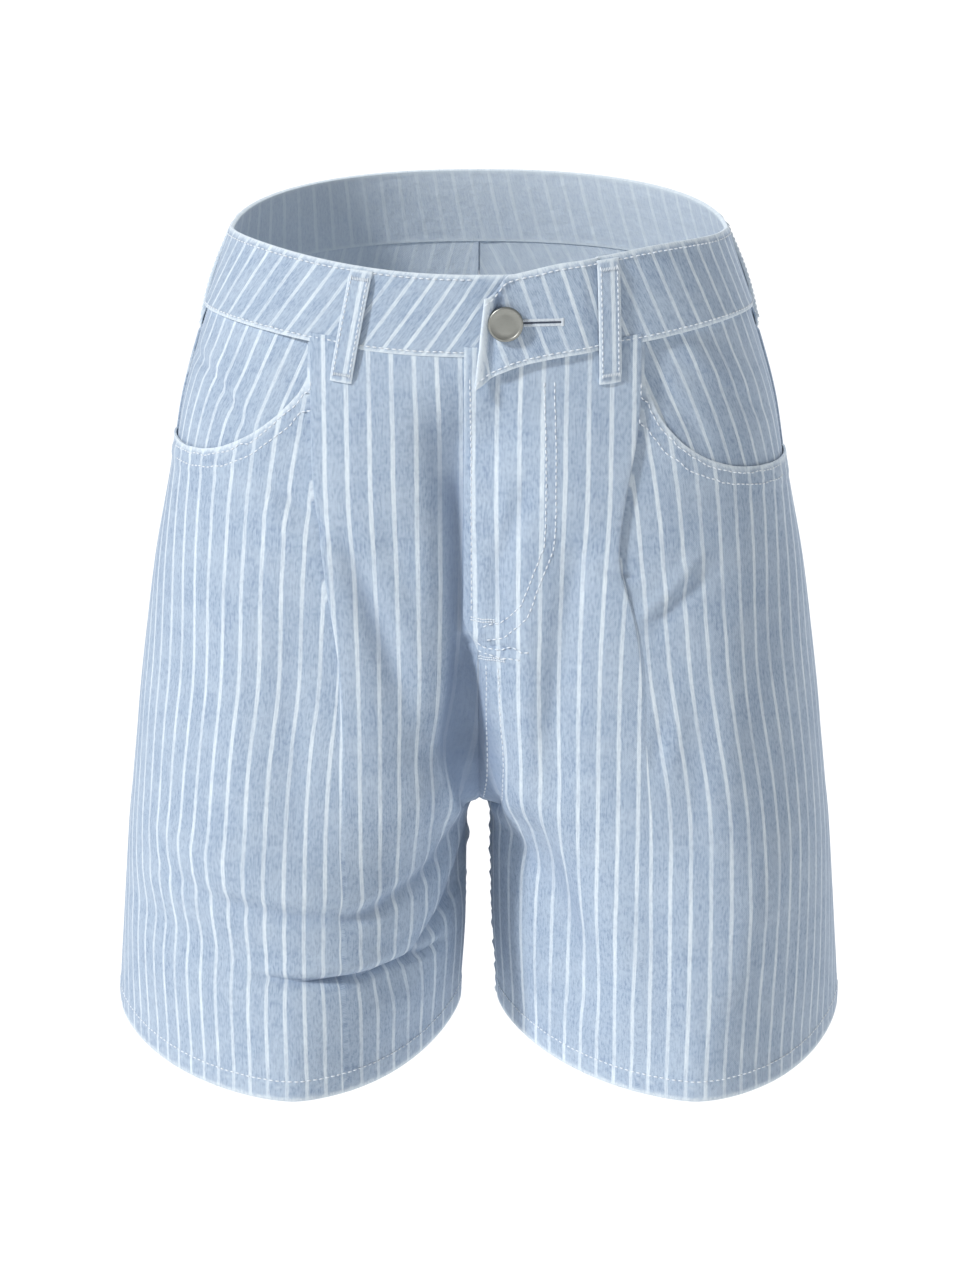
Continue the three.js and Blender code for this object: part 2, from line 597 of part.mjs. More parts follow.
// The waistband: one strip round the waist. Its right end lies under and its left end laps over.
function waistband() {
  const around = [];
  const put = (part, sign, share, lift = 0) => around.push({ part, sign, share, lift });
  const frontShares = [0.08, 0.2, 0.32, 0.44, 0.56, 0.68, 0.8, 0.9];
  const total = sideLength("front", 1, -20);
  for (const s of [-BAND_LAP, -22, -12, 0]) put("front", -1, s / total);
  for (const share of frontShares) put("front", -1, share);
  put("front", -1, 1);
  for (const share of [...frontShares].reverse()) put("back", -1, share);
  put("back", 1, 0);
  for (const share of frontShares) put("back", 1, share);
  put("front", 1, 1);
  for (const share of [...frontShares].reverse()) if (share * total > 62) put("front", 1, share);
  for (const { s, lift } of OVER_END) put("front", 1, s / total, lift);
  const grid = [0, 0.33, 0.67, 1].map((drop) =>
    around.map(({ part, sign, share, lift }) => {
      const s0 = share * total;
      const { deep } = clothPoint(part, sign, share * sideLength(part, sign, -20), -20);
      const droop = lift > 0 ? END_DROOP.most * Math.exp((END_DROOP.at - s0) / END_DROOP.over) : 0;
      const rise = part === "front" && sign > 0 ? leftRise(s0) * (1 - drop) : 0;
      const z = waistEdge(part, deep) - BAND_HEIGHT * drop - droop * (0.1 + 0.9 * drop) + rise;
      const length = sideLength(part, sign, z);
      const s = share <= 0 || lift > 0 ? s0 : share * length;
      const p = clothPoint(part, sign, s, z, lift, BAND_WALL, "band");
      return { ...p, z };
    }),
  );
  const band = toSolid(clothWall(grid, BAND_WALL));
  const slot = new THREE.Shape();
  const turn = Math.asin(HOLE.slit / 2 / HOLE.radius);
  slot.absarc(BUTTON.x, BUTTON.z, HOLE.radius, turn, Math.PI * 2 - turn, false);
  slot.lineTo(BUTTON.x + HOLE.length, BUTTON.z - HOLE.slit / 2);
  slot.lineTo(BUTTON.x + HOLE.length, BUTTON.z + HOLE.slit / 2);
  const outline = slot.getPoints(10).map((p) => [p.x, p.y]);
  const face = clothPoint("front", 1, BUTTON.x, BUTTON.z, 0, BAND_WALL, "band").y;
  return toGeometry(band.subtract(prism(outline, face - 20, face - BAND_WALL / 2 - GAP / 2)));
}

// Belt loops stand a little off the waistband and are turned under at their lower end
function beltLoop({ side, x, lean, behind = 0 }) {
  const off = behind > 0 ? LOOP_OFF.side : LOOP_OFF.lift;
  const grid = [0, 0.25, 0.5, 0.75, 1].map((t) =>
    [-1, 0, 1].map((w) => {
      const across = x + lean * t + (w * LOOP_WIDTH) / 2;
      const sign = (behind > 0 ? x : across) < 0 ? -1 : 1;
      const along = (z) =>
        behind > 0
          ? sideLength(side, sign, z) - behind - (w * LOOP_WIDTH) / 2
          : alongTo(side, sign, Math.abs(across), z);
      const { deep } = clothPoint(side, sign, along(-30), -30);
      const rise = side === "front" && sign > 0 ? leftRise(along(-30)) * (1 - t) : 0;
      const z = waistEdge(side, deep) - 1 - (BAND_HEIGHT + LOOP_BELOW) * t + rise;
      const bow = (behind > 0 ? LOOP_OFF.sideBow : LOOP_OFF.bow) * Math.sin(Math.PI * t);
      return clothPoint(side, sign, along(z), z, off + bow, WALL, "band");
    }),
  );
  return clothWall(grid);
}

// Flat round button with a raised rim on a short shank, standing on the under end of the waistband
function button() {
  const { radius, thick, shank, rim, lift: base } = BUTTON;
  const profile = [
    [0, GAP],
    [shank, GAP],
    [shank, base],
    [radius - 0.7, base],
    [radius, base + 0.7],
    [radius, base + thick - 0.5],
    [radius - 0.5, base + thick],
    [radius - rim, base + thick],
    [radius - rim - 0.3, base + thick - 0.4],
    [0, base + thick - 0.4],
  ].map(([r, h]) => new THREE.Vector2(r, h));
  const geometry = new THREE.LatheGeometry(profile, 28);
  geometry.deleteAttribute("normal");
  geometry.deleteAttribute("uv");
  return facingOut(mergeVertices(geometry, 1e-4));
}

const shorts = new THREE.Group();
shorts.name = "bermuda_shorts";

function add(name, geometry, look = CLOTH) {
  geometry.computeVertexNormals();
  const mesh = new THREE.Mesh(geometry, new THREE.MeshStandardMaterial(look));
  mesh.name = name;
  shorts.add(mesh);
  return mesh;
}

for (const [side, sign] of [
  ["left", 1],
  ["right", -1],
]) {
  add(`front_${side}`, frontPanel(sign));
  add(`back_${side}`, backPanel(sign));
  add(`yoke_${side}`, yoke(sign));
  add(`pocket_facing_${side}`, pocketFacing(sign));
  add(`back_pocket_${side}`, patchPocket(sign));
}
add("waistband", waistband());
for (const [name, loop] of Object.entries(LOOPS)) add(name, beltLoop(loop));

const seat = clothPoint("front", 1, BUTTON.x, BUTTON.z, 0, BAND_WALL, "band");
const boss = add("button", button(), STEEL);
boss.rotation.x = Math.PI;
boss.position.set(BUTTON.x, seat.y - BAND_WALL / 2, BUTTON.z);

export default shorts;
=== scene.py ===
"""Pleated bermuda shorts in striped denim, shaped as on a wearer. Sizes here are millimetres until a mesh is
made.
"""

import math

import bmesh
import bpy
import numpy as np
from bpy.props import FloatProperty, FloatVectorProperty, PointerProperty
from mathutils import Matrix, Vector
from mathutils.bvhtree import BVHTree


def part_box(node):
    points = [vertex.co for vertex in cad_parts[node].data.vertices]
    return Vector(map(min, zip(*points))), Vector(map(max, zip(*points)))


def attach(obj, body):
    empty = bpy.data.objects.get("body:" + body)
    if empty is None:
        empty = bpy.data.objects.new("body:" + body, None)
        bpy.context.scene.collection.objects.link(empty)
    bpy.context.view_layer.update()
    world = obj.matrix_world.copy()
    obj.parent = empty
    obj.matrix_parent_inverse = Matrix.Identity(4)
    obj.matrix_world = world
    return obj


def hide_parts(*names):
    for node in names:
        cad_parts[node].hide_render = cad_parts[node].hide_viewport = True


bl_info = {
    "name": "Bermuda Shorts",
    "version": (1, 0, 0),
    "blender": (4, 5, 0),
    "location": "View3D > Sidebar > Shorts",
    "description": "Builds pleated bermuda shorts in striped denim on their packed frame",
    "category": "Add Mesh",
}

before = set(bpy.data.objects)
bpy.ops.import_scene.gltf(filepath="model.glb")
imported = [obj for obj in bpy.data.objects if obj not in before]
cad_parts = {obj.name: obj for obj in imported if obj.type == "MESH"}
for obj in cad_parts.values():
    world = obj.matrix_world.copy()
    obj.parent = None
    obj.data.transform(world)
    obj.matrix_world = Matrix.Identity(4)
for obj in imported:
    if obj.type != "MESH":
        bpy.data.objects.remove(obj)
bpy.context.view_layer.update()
MM = 0.001

# Cloth, seams and the outline of the body, as in the frame
LAYER = 1.5
SEAM = 0.15
TURN = LAYER / 2
BAND_HEIGHT = 40
WAIST_DROP = {"front": -7.5, "back": 15}
WAIST_BEND = {"front": 4, "back": 1}
WAIST_RISE = {"front": 10, "back": 0}
SIDE_HEM = -427
SECTION_KEYS = ("half", "inFront", "inBack", "front", "back", "shift", "power")
SECTIONS = (
    (35, 116, 0, 0, 93, 90, -3, 2.2),
    (0, 126, 0, 0, 95, 95, -4, 2.2),
    (-40, 140, 0, 0, 96, 103, -4, 2.25),
    (-85, 153.5, 0.02, 0.03, 99, 112, -3, 2.3),
    (-125, 160.5, 0.06, 0.08, 103, 120, -2, 2.35),
    (-170, 169.5, 0.14, 0.17, 106, 126, -2, 2.35),
    (-215, 176, 0.25, 0.31, 107, 129, -4, 2.3),
    (-242, 179.5, 0.33, 0.41, 107, 130, -6, 2.2),
    (-266, 182, 0.41, 0.468, 108, 130, -7.5, 2.15),
    (-286, 184.2, 0.465, 0.49, 108.5, 130, -9, 2.1),
    (-296, 185.3, 0.49, 0.497, 109, 130, -9.5, 2.08),
    (-301, 186, 0.5, 0.5, 109.2, 129.5, -9.8, 2.06),
    (-313, 187.5, 0.516, 0.516, 110.2, 128.5, -9.4, 2.02),
    (-330, 189.2, 0.518, 0.518, 112, 127, -8.5, 1.96),
    (-380, 194, 0.52, 0.52, 119, 121.5, -4, 1.78),
    (-420, 197.5, 0.526, 0.526, 125, 118, -1, 1.64),
    (-450, 197.5, 0.529, 0.529, 125, 118, -1, 1.64),
)
SKEW = {"most": 8, "from": -250, "over": 150}
CENTRE_BAND = 14
FACE_INWARD = (-215, 40)
FOLDS_FADE = (-270, 28)
LEGS_APART = (-296, 6)
SEAM_FORWARD = {"left": 5, "right": 15, "from": -70, "full": -230}
PLEAT_KEYS = ("at", "under", "turn", "step", "hidden")
PLEATS = {
    "right": (
        (-45, 82, 20, 180, 3.0, 39),
        (-100, 82, 15, 180, 3.0, 28),
        (-150, 77, 9, 180, 3.0, 18.5),
        (-190, 71, 3, 180, 3.0, 13),
        (-203, 69.5, 0, 110, 2.6, 11.5),
        (-220, 68.5, 0, 45, 1.5, 9.5),
        (-245, 68, 0, 18, 0.8, 6),
        (-275, 68, 0, 9, 0.45, 3.5),
        (-310, 68, 0, 4, 0.2, 1.8),
        (-345, 68, 0, 4, 0.2, 0.8),
        (-430, 68, 0, 4, 0.2, 0),
    ),
    "left": (
        (-45, 79, 20, 180, 3.0, 46),
        (-82, 78, 16, 180, 3.0, 38.5),
        (-125, 71, 10, 180, 3.0, 30),
        (-148, 69, 4, 180, 3.0, 25.5),
        (-163, 72, 0, 100, 2.3, 22.5),
        (-180, 77, 0, 40, 1.3, 20),
        (-205, 81, 0, 15, 0.6, 16),
        (-235, 82, 0, 8, 0.35, 10.5),
        (-275, 82, 0, 4, 0.2, 4.5),
        (-320, 82, 0, 4, 0.2, 2.8),
        (-430, 82, 0, 4, 0.2, 0),
    ),
}

# Soft folds: two ends as x and z, half width and height, hollows below 0
FOLDS = {
    "front": (
        (-6, -96, -7, -245, 24, -14), (-47, -150, -30, -250, 16, -4), (46, -150, 36, -260, 14, -4),
        (-168, -350, -42, -374, 14, -3), (-42, -374, -12, -346, 12, -3), (22, -300, 52, -385, 14, -3.5),
        (118, -200, 130, -330, 22, 3), (-118, -180, -128, -300, 22, 3),
    ),
    "back": (
        (25, -200, 60, -285, 16, -4), (-25, -190, -62, -275, 16, -4), (-60, -318, -160, -300, 14, -3),
        (70, -330, 160, -345, 16, -2),
    ),
}

# The finer creases, in the same way
CREASES = {
    "front": (
        (-10, -66, -10, -250, 5, -3), (-6, -200, 2, -296, 6.5, -15), (-8, -214, 0, -290, 11, -5),
        (-16, -196, -14, -290, 5, 3), (-24, -76, -14, -132, 9, -3.2), (-15, -118, -9, -210, 7, -4.6),
        (-8, -190, 20, -192, 1.8, 1.3), (-8, -194, 22, -196, 1.6, -1.4), (-9, -198, 24, -201, 2, 1.5),
        (-6, -206, 18, -211, 2, 1.1), (-27, -80, -25, -230, 8, 1.6), (-8, -198, -22, -300, 7, -3.2),
        (10, -90, 14, -150, 6, 1.4), (23, -112, 9, -158, 4, -2.6), (9, -158, 12, -178, 4, -1.4),
        (49, -150, 42, -182, 5, -1.5), (42, -182, 35, -246, 6, -2), (24, -180, 24, -290, 8, 1.3),
        (7, -300, 32, -330, 6, -2), (32, -300, 54, -364, 7, -3), (54, -300, 78, -372, 9, 1.4),
        (-104, -116, -80, -130, 3, -2.2), (-110, -128, -84, -142, 4, 1.3), (-80, -130, -77, -140, 3, -1.8),
        (-68, -136, -38, -222, 6, -3.4), (-54, -136, -26, -214, 7, 1.8), (-114, -368, -20, -372, 2.3, -5.4),
        (-104, -361, -30, -364, 5, 2.8), (-34, -372, -12, -350, 3, -4.2), (-16, -354, -2, -314, 3.4, -3.4),
        (-40, -360, -14, -336, 6, 1.4), (-170, -318, -120, -328, 5, -1.2), (-128, -327, -56, -337, 5, -2.8),
        (-66, -337, -22, -322, 5, -3.6), (-28, -325, -4, -300, 5, -3), (-140, -318, -50, -327, 7, 2),
        (-160, -300, -60, -318, 10, 2.6), (60, -154, 78, -160, 2.2, -2.2), (80, -178, 92, -170, 3, 2.4),
        (92, -170, 110, -149, 3.4, 2.2), (84, -188, 116, -158, 4.5, -1.8), (93, -226, 89, -254, 2.6, -2),
        (98, -222, 96, -262, 5, 1.2), (86, -60, 112, -94, 4, -1.6), (102, -48, 132, -78, 4.5, 1.6),
        (118, -66, 146, -88, 4, -1.4), (104, -34, 138, -62, 6, -1), (-150, -60, -134, -66, 4, -1.8),
        (-134, -66, -116, -90, 3.5, -2.2), (-140, -56, -108, -84, 5, 1.2), (150, -150, 138, -270, 10, -1.8),
        (-152, -150, -140, -290, 10, -0.8), (150, -300, 116, -410, 13, 2), (84, -300, 96, -410, 12, -1.6),
        (-126, -200, -112, -300, 9, 0.8), (-96, -180, -92, -290, 9, -1.5), (112, -210, 108, -300, 9, -1.5),
        (150, -360, 60, -392, 12, 1.2),
    ),
    "back": (
        (12, -120, 40, -236, 7, -2), (-12, -120, -46, -226, 7, -2.2), (76, -236, 30, -292, 8, -2.2),
        (18, -290, 70, -336, 8, -2), (-16, -290, -70, -330, 8, -2.4), (-6, -334, -58, -350, 3.2, 4.6),
        (-6, -344, -64, -360, 4, -3), (-80, -347, -128, -345, 2.6, 4.2), (-76, -354, -132, -352, 4, -2.8),
        (-56, -316, -172, -300, 6, -3.4), (-60, -307, -170, -290, 6, 2.8), (-30, -312, -58, -316, 3, 2),
        (60, -352, 120, -360, 6, -1.4), (6, -340, 60, -366, 7, 1.6), (84, -78, 120, -84, 7, 1),
        (-110, -240, -140, -400, 14, 1.8), (116, -240, 146, -400, 14, 1.8), (90, -300, 96, -410, 12, -1.6),
        (-92, -376, -96, -418, 10, -1.4),
    ),
}

# Curved mouths of the front pockets, from the waistband out to the side seam, as distance from the
# middle and height
MOUTHS = {
    "right": ((81, -30), (82.5, -52), (85, -61.5), (89, -68.8), (95, -75.5), (104, -84.5),
              (116.5, -93.5), (128.5, -100), (139, -103.5), (150, -105), (162, -105.5), (190, -106)),
    "left": ((79, -30), (79.5, -48), (81, -59), (84.5, -70), (90.5, -83), (100.5, -94.5),
             (112, -103), (127.5, -109.5), (142, -112.5), (153.5, -114), (164, -115), (190, -116)),
}
MOUTH_UNDERLAP = 10
YOKE_SEAM = {"centre": -60, "side": -52, "sag": 3}
PATCHES = {
    "left": ((53, -93), (142, -86), (158, -203), (124, -232), (69, -209)),
    "right": ((51, -97), (135, -82), (152, -196), (121, -226), (69, -206)),
}
LOOP_WIDTH = 10.5
LOOP_BELOW = 16
LOOPS = {
    "loop_front_right": ("front", -56, -11, 0),
    "loop_front_left": ("front", 61.5, 2, 0),
    "loop_side_right": ("back", -1, 0, 24),
    "loop_side_left": ("back", 1, 0, 22),
    "loop_back": ("back", 0, 0, 0),
}
LOOP_OFF = {"lift": 2.6, "side": 2.15, "bow": 0.9, "sideBow": 2.2}
FLY = {"lap": 7, "foot": -184, "runOut": 15}
BAND_LAP = 32
END_DROOP = {"most": 15.5, "at": -2, "over": 17}
LEFT_RISE = {"most": 4.5, "from": 4, "over": 40, "until": 80, "fall": 70}
OVER_END = ((60, 0), (55, 1.2), (51, 2.4), (42, 2.5), (28, 2.6), (16, 2.9), (9, 3.8), (3, 3.8), (-2, 3.8))
HOLE_END = 39.5
BUTTON = {"x": 12.8, "z": -30.3, "radius": 8.6, "thick": 2.6, "shank": 2.2, "lift": 4.3}

# Sewing of the fly, as x and z on the left front
FLY_STITCHES = (
    ((36.6, -60), (37.5, -98), (37.7, -144), (29.5, -162), (24, -177), (12, -188), (3, -193)),
    ((31.6, -60), (32.4, -98), (32.4, -142), (25.5, -158), (19.5, -172), (9, -182), (0, -186)),
    ((-4.4, -58), (-4.8, -120), (-4.6, -178)),
    ((-2, -195.5), (8, -195.5), (23.5, -195.5)),
    ((-2, -199.0), (8, -199.0), (20.5, -199.0)),
    ((2, -205), (2, -250), (2, -290)),
    ((7.5, -205), (7.5, -250), (8, -286)),
)
BAR_TACKS = (
    ((-5, -180.9), (6, -180.9)),
    ((-5, -182.3), (6, -182.3)),
    ((-3, -202.0), (11, -202.0)),
    ((-3, -203.4), (11, -203.4)),
)

# Cloth detail
CELL = 2.3
HEM = 11
PITCH = 10.1
THREAD = 0.43
STITCH = 3.3
SHORTEST = 0.05
FINE_THREAD = 0.3
LOOP_WALL = 1.7
HOLE_START = 20.5
LIP = 0.45
INSET = 0.02
FRONT_TOP = -52.0
BACK_TOP = -62.0
UNDER_BAND = 5.0
UNDER_YOKE = 7.0
NEAR_AT = 30
NEAR_SHARE = 0.2
EDGE_CALM = 12
HEM_DIP = {"front": 5, "back": 6, "over": 110}
PLEAT_LIFT = 1.2
PLEAT_FALL = 26
PATCH_LIFT = 1.35
FACING_INNER = 70
BAND_LEVEL = -20.0
LOOP_LEVEL = -30.0
END_CUT = {"most": 8.5, "from": 1, "over": 11}
END_CURL = {"over": 16, "lean": 4.6, "lift": 3.2}

# Where each line of sewing puckers the cloth: distance from the line, reach and height
PUCKERS = {
    "mouth": (5, 4, 0.32), "hem": (HEM - 2, 5, 0.22), "fly edge": (6, 4, 0.25), "fly foot": (0, 11, 0.5),
    "fly curve": (0, 4, 0.22), "felled seam": (4.5, 4.5, 0.7), "plain seam": (4.5, 4.5, 0.3),
    "yoke": (4.5, 3.5, 0.3), "pocket": (4.5, 3.5, 0.22), "band": (4, 3.5, 0.16),
}
# Width and height of the doubled cloth
WELTS = {"mouth": (11, 0.55), "centre back": (9, 0.6), "yoke": (9, 0.5), "pocket": (12, 0.5)}

# Course of the stripes: where the grain of a front stands upright, how its stripes draw together
# towards the waist and straighten below the crotch, and how those of the other pieces lean
GRAIN_AT = 75
GATHER = {"about": 55, "share": 0.1, "from": -230, "over": 130}
STRAIGHTEN = {"share": 0.45, "from": -230, "over": 50}
BACK_LEAN = {"most": 9, "from": -270, "bend": 40}
FACING_LEAN = -7
YOKE_LEAN = {1: 2, -1: -12}
BAND_TILT = {"right": 34, "left": 22, "back": 12}

# Tone of the creases: painted shade, darker in a hollow, and paler wear on a narrow ridge
CREASE_SHADE = {"most": 0.75, "full": 5}
PALED = {"share": 0.14, "narrow": 3.5}
TONE_LIMITS = (-0.85, 0.5)

# Sizes in metres of the flat cuts as they show
FLATS = {
    "front": (0.29, 0.42), "facing": (0.12, 0.12), "back": (0.30, 0.42), "yoke": (0.18, 0.05),
    "pocket": (0.12, 0.14), "waistband": (0.76, 0.042), "loop": (0.0112, 0.058),
}

# Rows of stitches down the centre back: top, foot and count of points
CENTRE_STITCHES = {"cloth_back_left": (-61, -286, 90), "cloth_yoke_left": (-26, -58, 16)}

# Lights by direction, strength and angle in degrees, and the camera in metres
LIGHTS = {
    "key": ((-1.9, -1.35, 1.6), 2.6, 8),
    "fill": ((1.9, -1.4, 0.5), 0.16, 60),
    "back": ((0.8, 2.0, 1.5), 1.9, 40),
}
SKY = ((0.98, 0.99, 1.0, 1.0), 0.34)
CAMERA = {"place": (0.0, -1.52, 0.256), "towards": (0.0, -0.03, -0.213)}
FLOOR = {"half": 90, "height": -1.0}


def ease(t):
    c = np.clip(t, 0, 1)
    return c * c * (3 - 2 * c)


def beside(away, over):
    """1 on a line and past it, falling to 0 at a distance from it."""
    return 1 - ease(away / over)


def above(z, level, over):
    """0 up to a level, rising to 1 a little above it."""
    return ease((z - level) / over)


def smooth_column(rows, column, z):
    """One column of a table at the heights z: smooth through every row, never past its neighbours."""
    rows = sorted(rows)
    at = np.array([r[0] for r in rows], float)
    value = np.array([r[column] for r in rows], float)
    slope = np.empty_like(value)
    slope[1:-1] = (value[2:] - value[:-2]) / (at[2:] - at[:-2])
    slope[0] = (value[1] - value[0]) / (at[1] - at[0])
    slope[-1] = (value[-1] - value[-2]) / (at[-1] - at[-2])
    z = np.clip(z, at[0], at[-1])
    i = np.clip(np.searchsorted(at, z, side="right") - 1, 0, len(at) - 2)
    step = at[i + 1] - at[i]
    t = (z - at[i]) / step
    p, q, m, n = value[i], value[i + 1], slope[i] * step, slope[i + 1] * step
    curve = p * (1 + 2 * t) * (1 - t) ** 2 + m * t * (1 - t) ** 2
    curve = curve + q * t * t * (3 - 2 * t) - n * t * t * (1 - t)
    return np.clip(curve, np.minimum(p, q), np.maximum(p, q))


LEVELS = np.arange(-450.0, 36.0)
SAMPLES = 129


class Section:
    """Half of the body's outline at every height, front or back of one side, as one even table."""

    def __init__(self, part, sign):
        body = {key: smooth_column(SECTIONS, i + 1, LEVELS) for i, key in enumerate(SECTION_KEYS)}
        inner = body["inFront" if part == "front" else "inBack"]
        deep = -body["front"] if part == "front" else body["back"]
        middle = body["half"] * inner
        reach_out = body["half"] - middle
        power = body["power"]
        reach = np.clip((middle - SEAM) / reach_out, 0, 1)
        start = -np.arcsin(reach ** (power / 2))
        skew = SKEW["most"] * ease((SKEW["from"] - LEVELS) / SKEW["over"]) if part == "front" else 0 * LEVELS
        share = np.linspace(0, 1, 161)[None, :]
        angle = start[:, None] + (math.pi / 2 - start[:, None]) * share
        sine = np.sin(angle)
        depth = np.abs(np.cos(angle)) ** (2 / power[:, None])
        x = middle[:, None] + reach_out[:, None] * np.sign(sine) * np.abs(sine) ** (2 / power[:, None])
        x = x + sign * skew[:, None] * depth * depth
        y = body["shift"][:, None] + deep[:, None] * depth
        run = np.zeros_like(x)
        run[:, 1:] = np.cumsum(np.hypot(np.diff(x, axis=1), np.diff(y, axis=1)), axis=1)
        self.length = run[:, -1]
        even = np.linspace(0, 1, SAMPLES)
        self.x, self.y, self.deep = (
            np.stack([np.interp(even * run[k, -1], run[k], a[k]) for k in range(len(LEVELS))])
            for a in (x, y, depth)
        )
        out = 1 if part == "front" else -1
        tx, ty = np.gradient(self.x, axis=1), np.gradient(self.y, axis=1)
        size = np.hypot(tx, ty)
        self.nx, self.ny = out * ty / size, -out * tx / size

    def long(self, z):
        return np.interp(z, LEVELS, self.length)

    def along_to(self, x, z):
        """Distance along the section of the point x from the middle."""
        x, z = np.broadcast_arrays(np.asarray(x, float), np.asarray(z, float))
        found = np.empty(x.size)
        for k, (px, pz) in enumerate(zip(x.ravel(), z.ravel())):
            row = int(np.clip(round(pz - LEVELS[0]), 0, len(LEVELS) - 1))
            found[k] = np.interp(px, self.x[row], np.linspace(0, 1, SAMPLES)) * self.length[row]
        return found.reshape(x.shape)

    def at(self, s, z):
        s, z = np.broadcast_arrays(np.asarray(s, float), np.asarray(z, float))
        row = np.clip(z - LEVELS[0], 0, len(LEVELS) - 1.001)
        column = np.clip(s / self.long(z), 0, 1) * (SAMPLES - 1.001)
        i, j = row.astype(int), column.astype(int)
        u, v = row - i, column - j
        values = []
        for table in (self.x, self.y, self.nx, self.ny, self.deep):
            near = table[i, j] * (1 - v) + table[i, j + 1] * v
            far = table[i + 1, j] * (1 - v) + table[i + 1, j + 1] * v
            values.append(near * (1 - u) + far * u)
        return values


SECTION = {(part, sign): Section(part, sign) for part in ("front", "back") for sign in (1, -1)}
SIDES = {1: "left", -1: "right"}


def reached(table, part, x, z, fading):
    """Each fold of a table: its height, half width, end taper and how near it is to a place."""
    for x1, z1, x2, z2, wide, high in table[part]:
        dx, dz = x2 - x1, z2 - z1
        t = np.clip(((x - x1) * dx + (z - z1) * dz) / (dx * dx + dz * dz), 0, 1)
        away = np.hypot(x - x1 - dx * t, z - z1 - dz * t)
        taper = np.sin(math.pi * (0.08 + 0.84 * t)) ** 0.7 if fading else 1
        yield high, wide, taper, np.exp(-((away / wide) ** 2))


def fold_height(part, x, z):
    total = np.zeros(np.broadcast(x, z).shape)
    for table, fading in ((FOLDS, False), (CREASES, True)):
        for high, _, taper, near in reached(table, part, x, z, fading):
            total += high * taper * near
    return total


def crease_shade_and_wear(part, x, z):
    """Painted shade: the colour is darkened down in a crease, where shade falls, and a narrow ridge is paler
    from wear.
    """
    total = np.zeros(np.broadcast(x, z).shape)
    for high, wide, taper, near in reached(CREASES, part, x, z, True):
        if high < 0:
            most = CREASE_SHADE["most"] * max(high / CREASE_SHADE["full"], -1)
        else:
            most = PALED["share"] * high * min(1, PALED["narrow"] / wide) ** 2
        total += most * taper * near
    return np.clip(total, *TONE_LIMITS)


def cloth(part, sign, s, z, high=0.0, lap=False, creased=True):
    """Points of the cloth's middle and their outward directions, s along the section from its inner
    edge. A negative s runs past the middle, and the back runs on past the side seam."""
    section = SECTION[part, sign]
    s, z, high = np.broadcast_arrays(np.asarray(s, float), np.asarray(z, float), np.asarray(high, float))
    length = section.long(z)
    past = s < 0
    at = np.minimum(np.abs(s), length)
    x, y, nx, ny, deep = section.at(at, z)
    middle = 1 - ease(at / CENTRE_BAND)
    inward, fade, apart = (ease((start - z) / over) for start, over in (FACE_INWARD, FOLDS_FADE, LEGS_APART))
    edge = np.minimum(1, (length - at) / EDGE_CALM)
    edge = np.minimum(edge, 1 - fade * (1 - np.minimum(1, at / EDGE_CALM)))
    creases = fold_height(part, x * np.where(past, -sign, sign), z) * edge if creased and not lap else 0
    if part == "back":
        beyond = s > length
        ahead = SECTION["front", sign].long(z) - (s - length)
        front = SECTION["front", sign].at(ahead, z)
        x, y, nx, ny, deep = (np.where(beyond, a, b) for a, b in zip(front, (x, y, nx, ny, deep)))
    total = high + creases
    x, y = x + nx * total * (1 - (1 - apart) * middle), y + ny * total
    nx = nx * (1 - (1 - inward) * middle)
    if not lap:
        x = np.maximum(x, 0.0)
    side = np.where(past, -sign, sign)
    return {"x": x * side, "y": y, "z": z + 0 * x, "nx": nx * side, "ny": ny, "deep": deep}


def seam_length(part, sign, z):
    start, full = SEAM_FORWARD["from"], SEAM_FORWARD["full"]
    forward = SEAM_FORWARD[SIDES[sign]] * ease((start - z) / (start - full))
    return SECTION[part, sign].long(z) + (-forward if part == "front" else forward)


def hem_dip(y):
    over = HEM_DIP["over"]
    return np.where(y < 0, HEM_DIP["front"] * ease(-y / over), -HEM_DIP["back"] * ease(y / over))


def waist_edge(part, deep):
    return WAIST_DROP[part] * deep ** WAIST_BEND[part] + WAIST_RISE[part] * deep * (1 - deep)


def left_rise(s):
    """The top edge stands a little higher on the wearer's left, beside the lapped end."""
    up = above(s, LEFT_RISE["from"], LEFT_RISE["over"])
    return LEFT_RISE["most"] * up * beside(s - LEFT_RISE["until"], LEFT_RISE["fall"])


def panel_top(part, deep):
    return waist_edge(part, deep) - BAND_HEIGHT


def row_height(level, top, foot, top_here, foot_here):
    t = (level - top) / (foot - top)
    return level + (top_here - top) * (1 - t) + (foot_here - foot) * t


PLEAT_TABLE = {
    sign: {key: smooth_column(PLEATS[SIDES[sign]], i + 1, LEVELS) for i, key in enumerate(PLEAT_KEYS)}
    for sign in (1, -1)
}
FOLD_ALONG = {sign: SECTION["front", sign].along_to(PLEAT_TABLE[sign]["at"], LEVELS) for sign in (1, -1)}
GRAIN_ALONG = {sign: SECTION["front", sign].along_to(GRAIN_AT, LEVELS) for sign in (1, -1)}
NEAR_ALONG = {key: SECTION[key].along_to(NEAR_AT, LEVELS) for key in SECTION}


def pleat(sign, key, z):
    table = {"along": FOLD_ALONG, "grain": GRAIN_ALONG}.get(key)
    return np.interp(z, LEVELS, table[sign] if table else PLEAT_TABLE[sign][key])


FRONT_COLUMNS = (
    [("lap", t) for t in np.linspace(0, 1, 14)]
    + [("rise", t) for t in np.linspace(0, 1, 18)[1:-1]]
    + [("over", t) for t in np.linspace(0, 1, 7)]
    + [("under", t) for t in (0.25, 0.5, 0.75)]
    + [("back", t) for t in np.linspace(0, 1, 7)]
    + [("flat", 0)]
    + [("out", t) for t in np.linspace(0, 1, 44)[1:]]
)


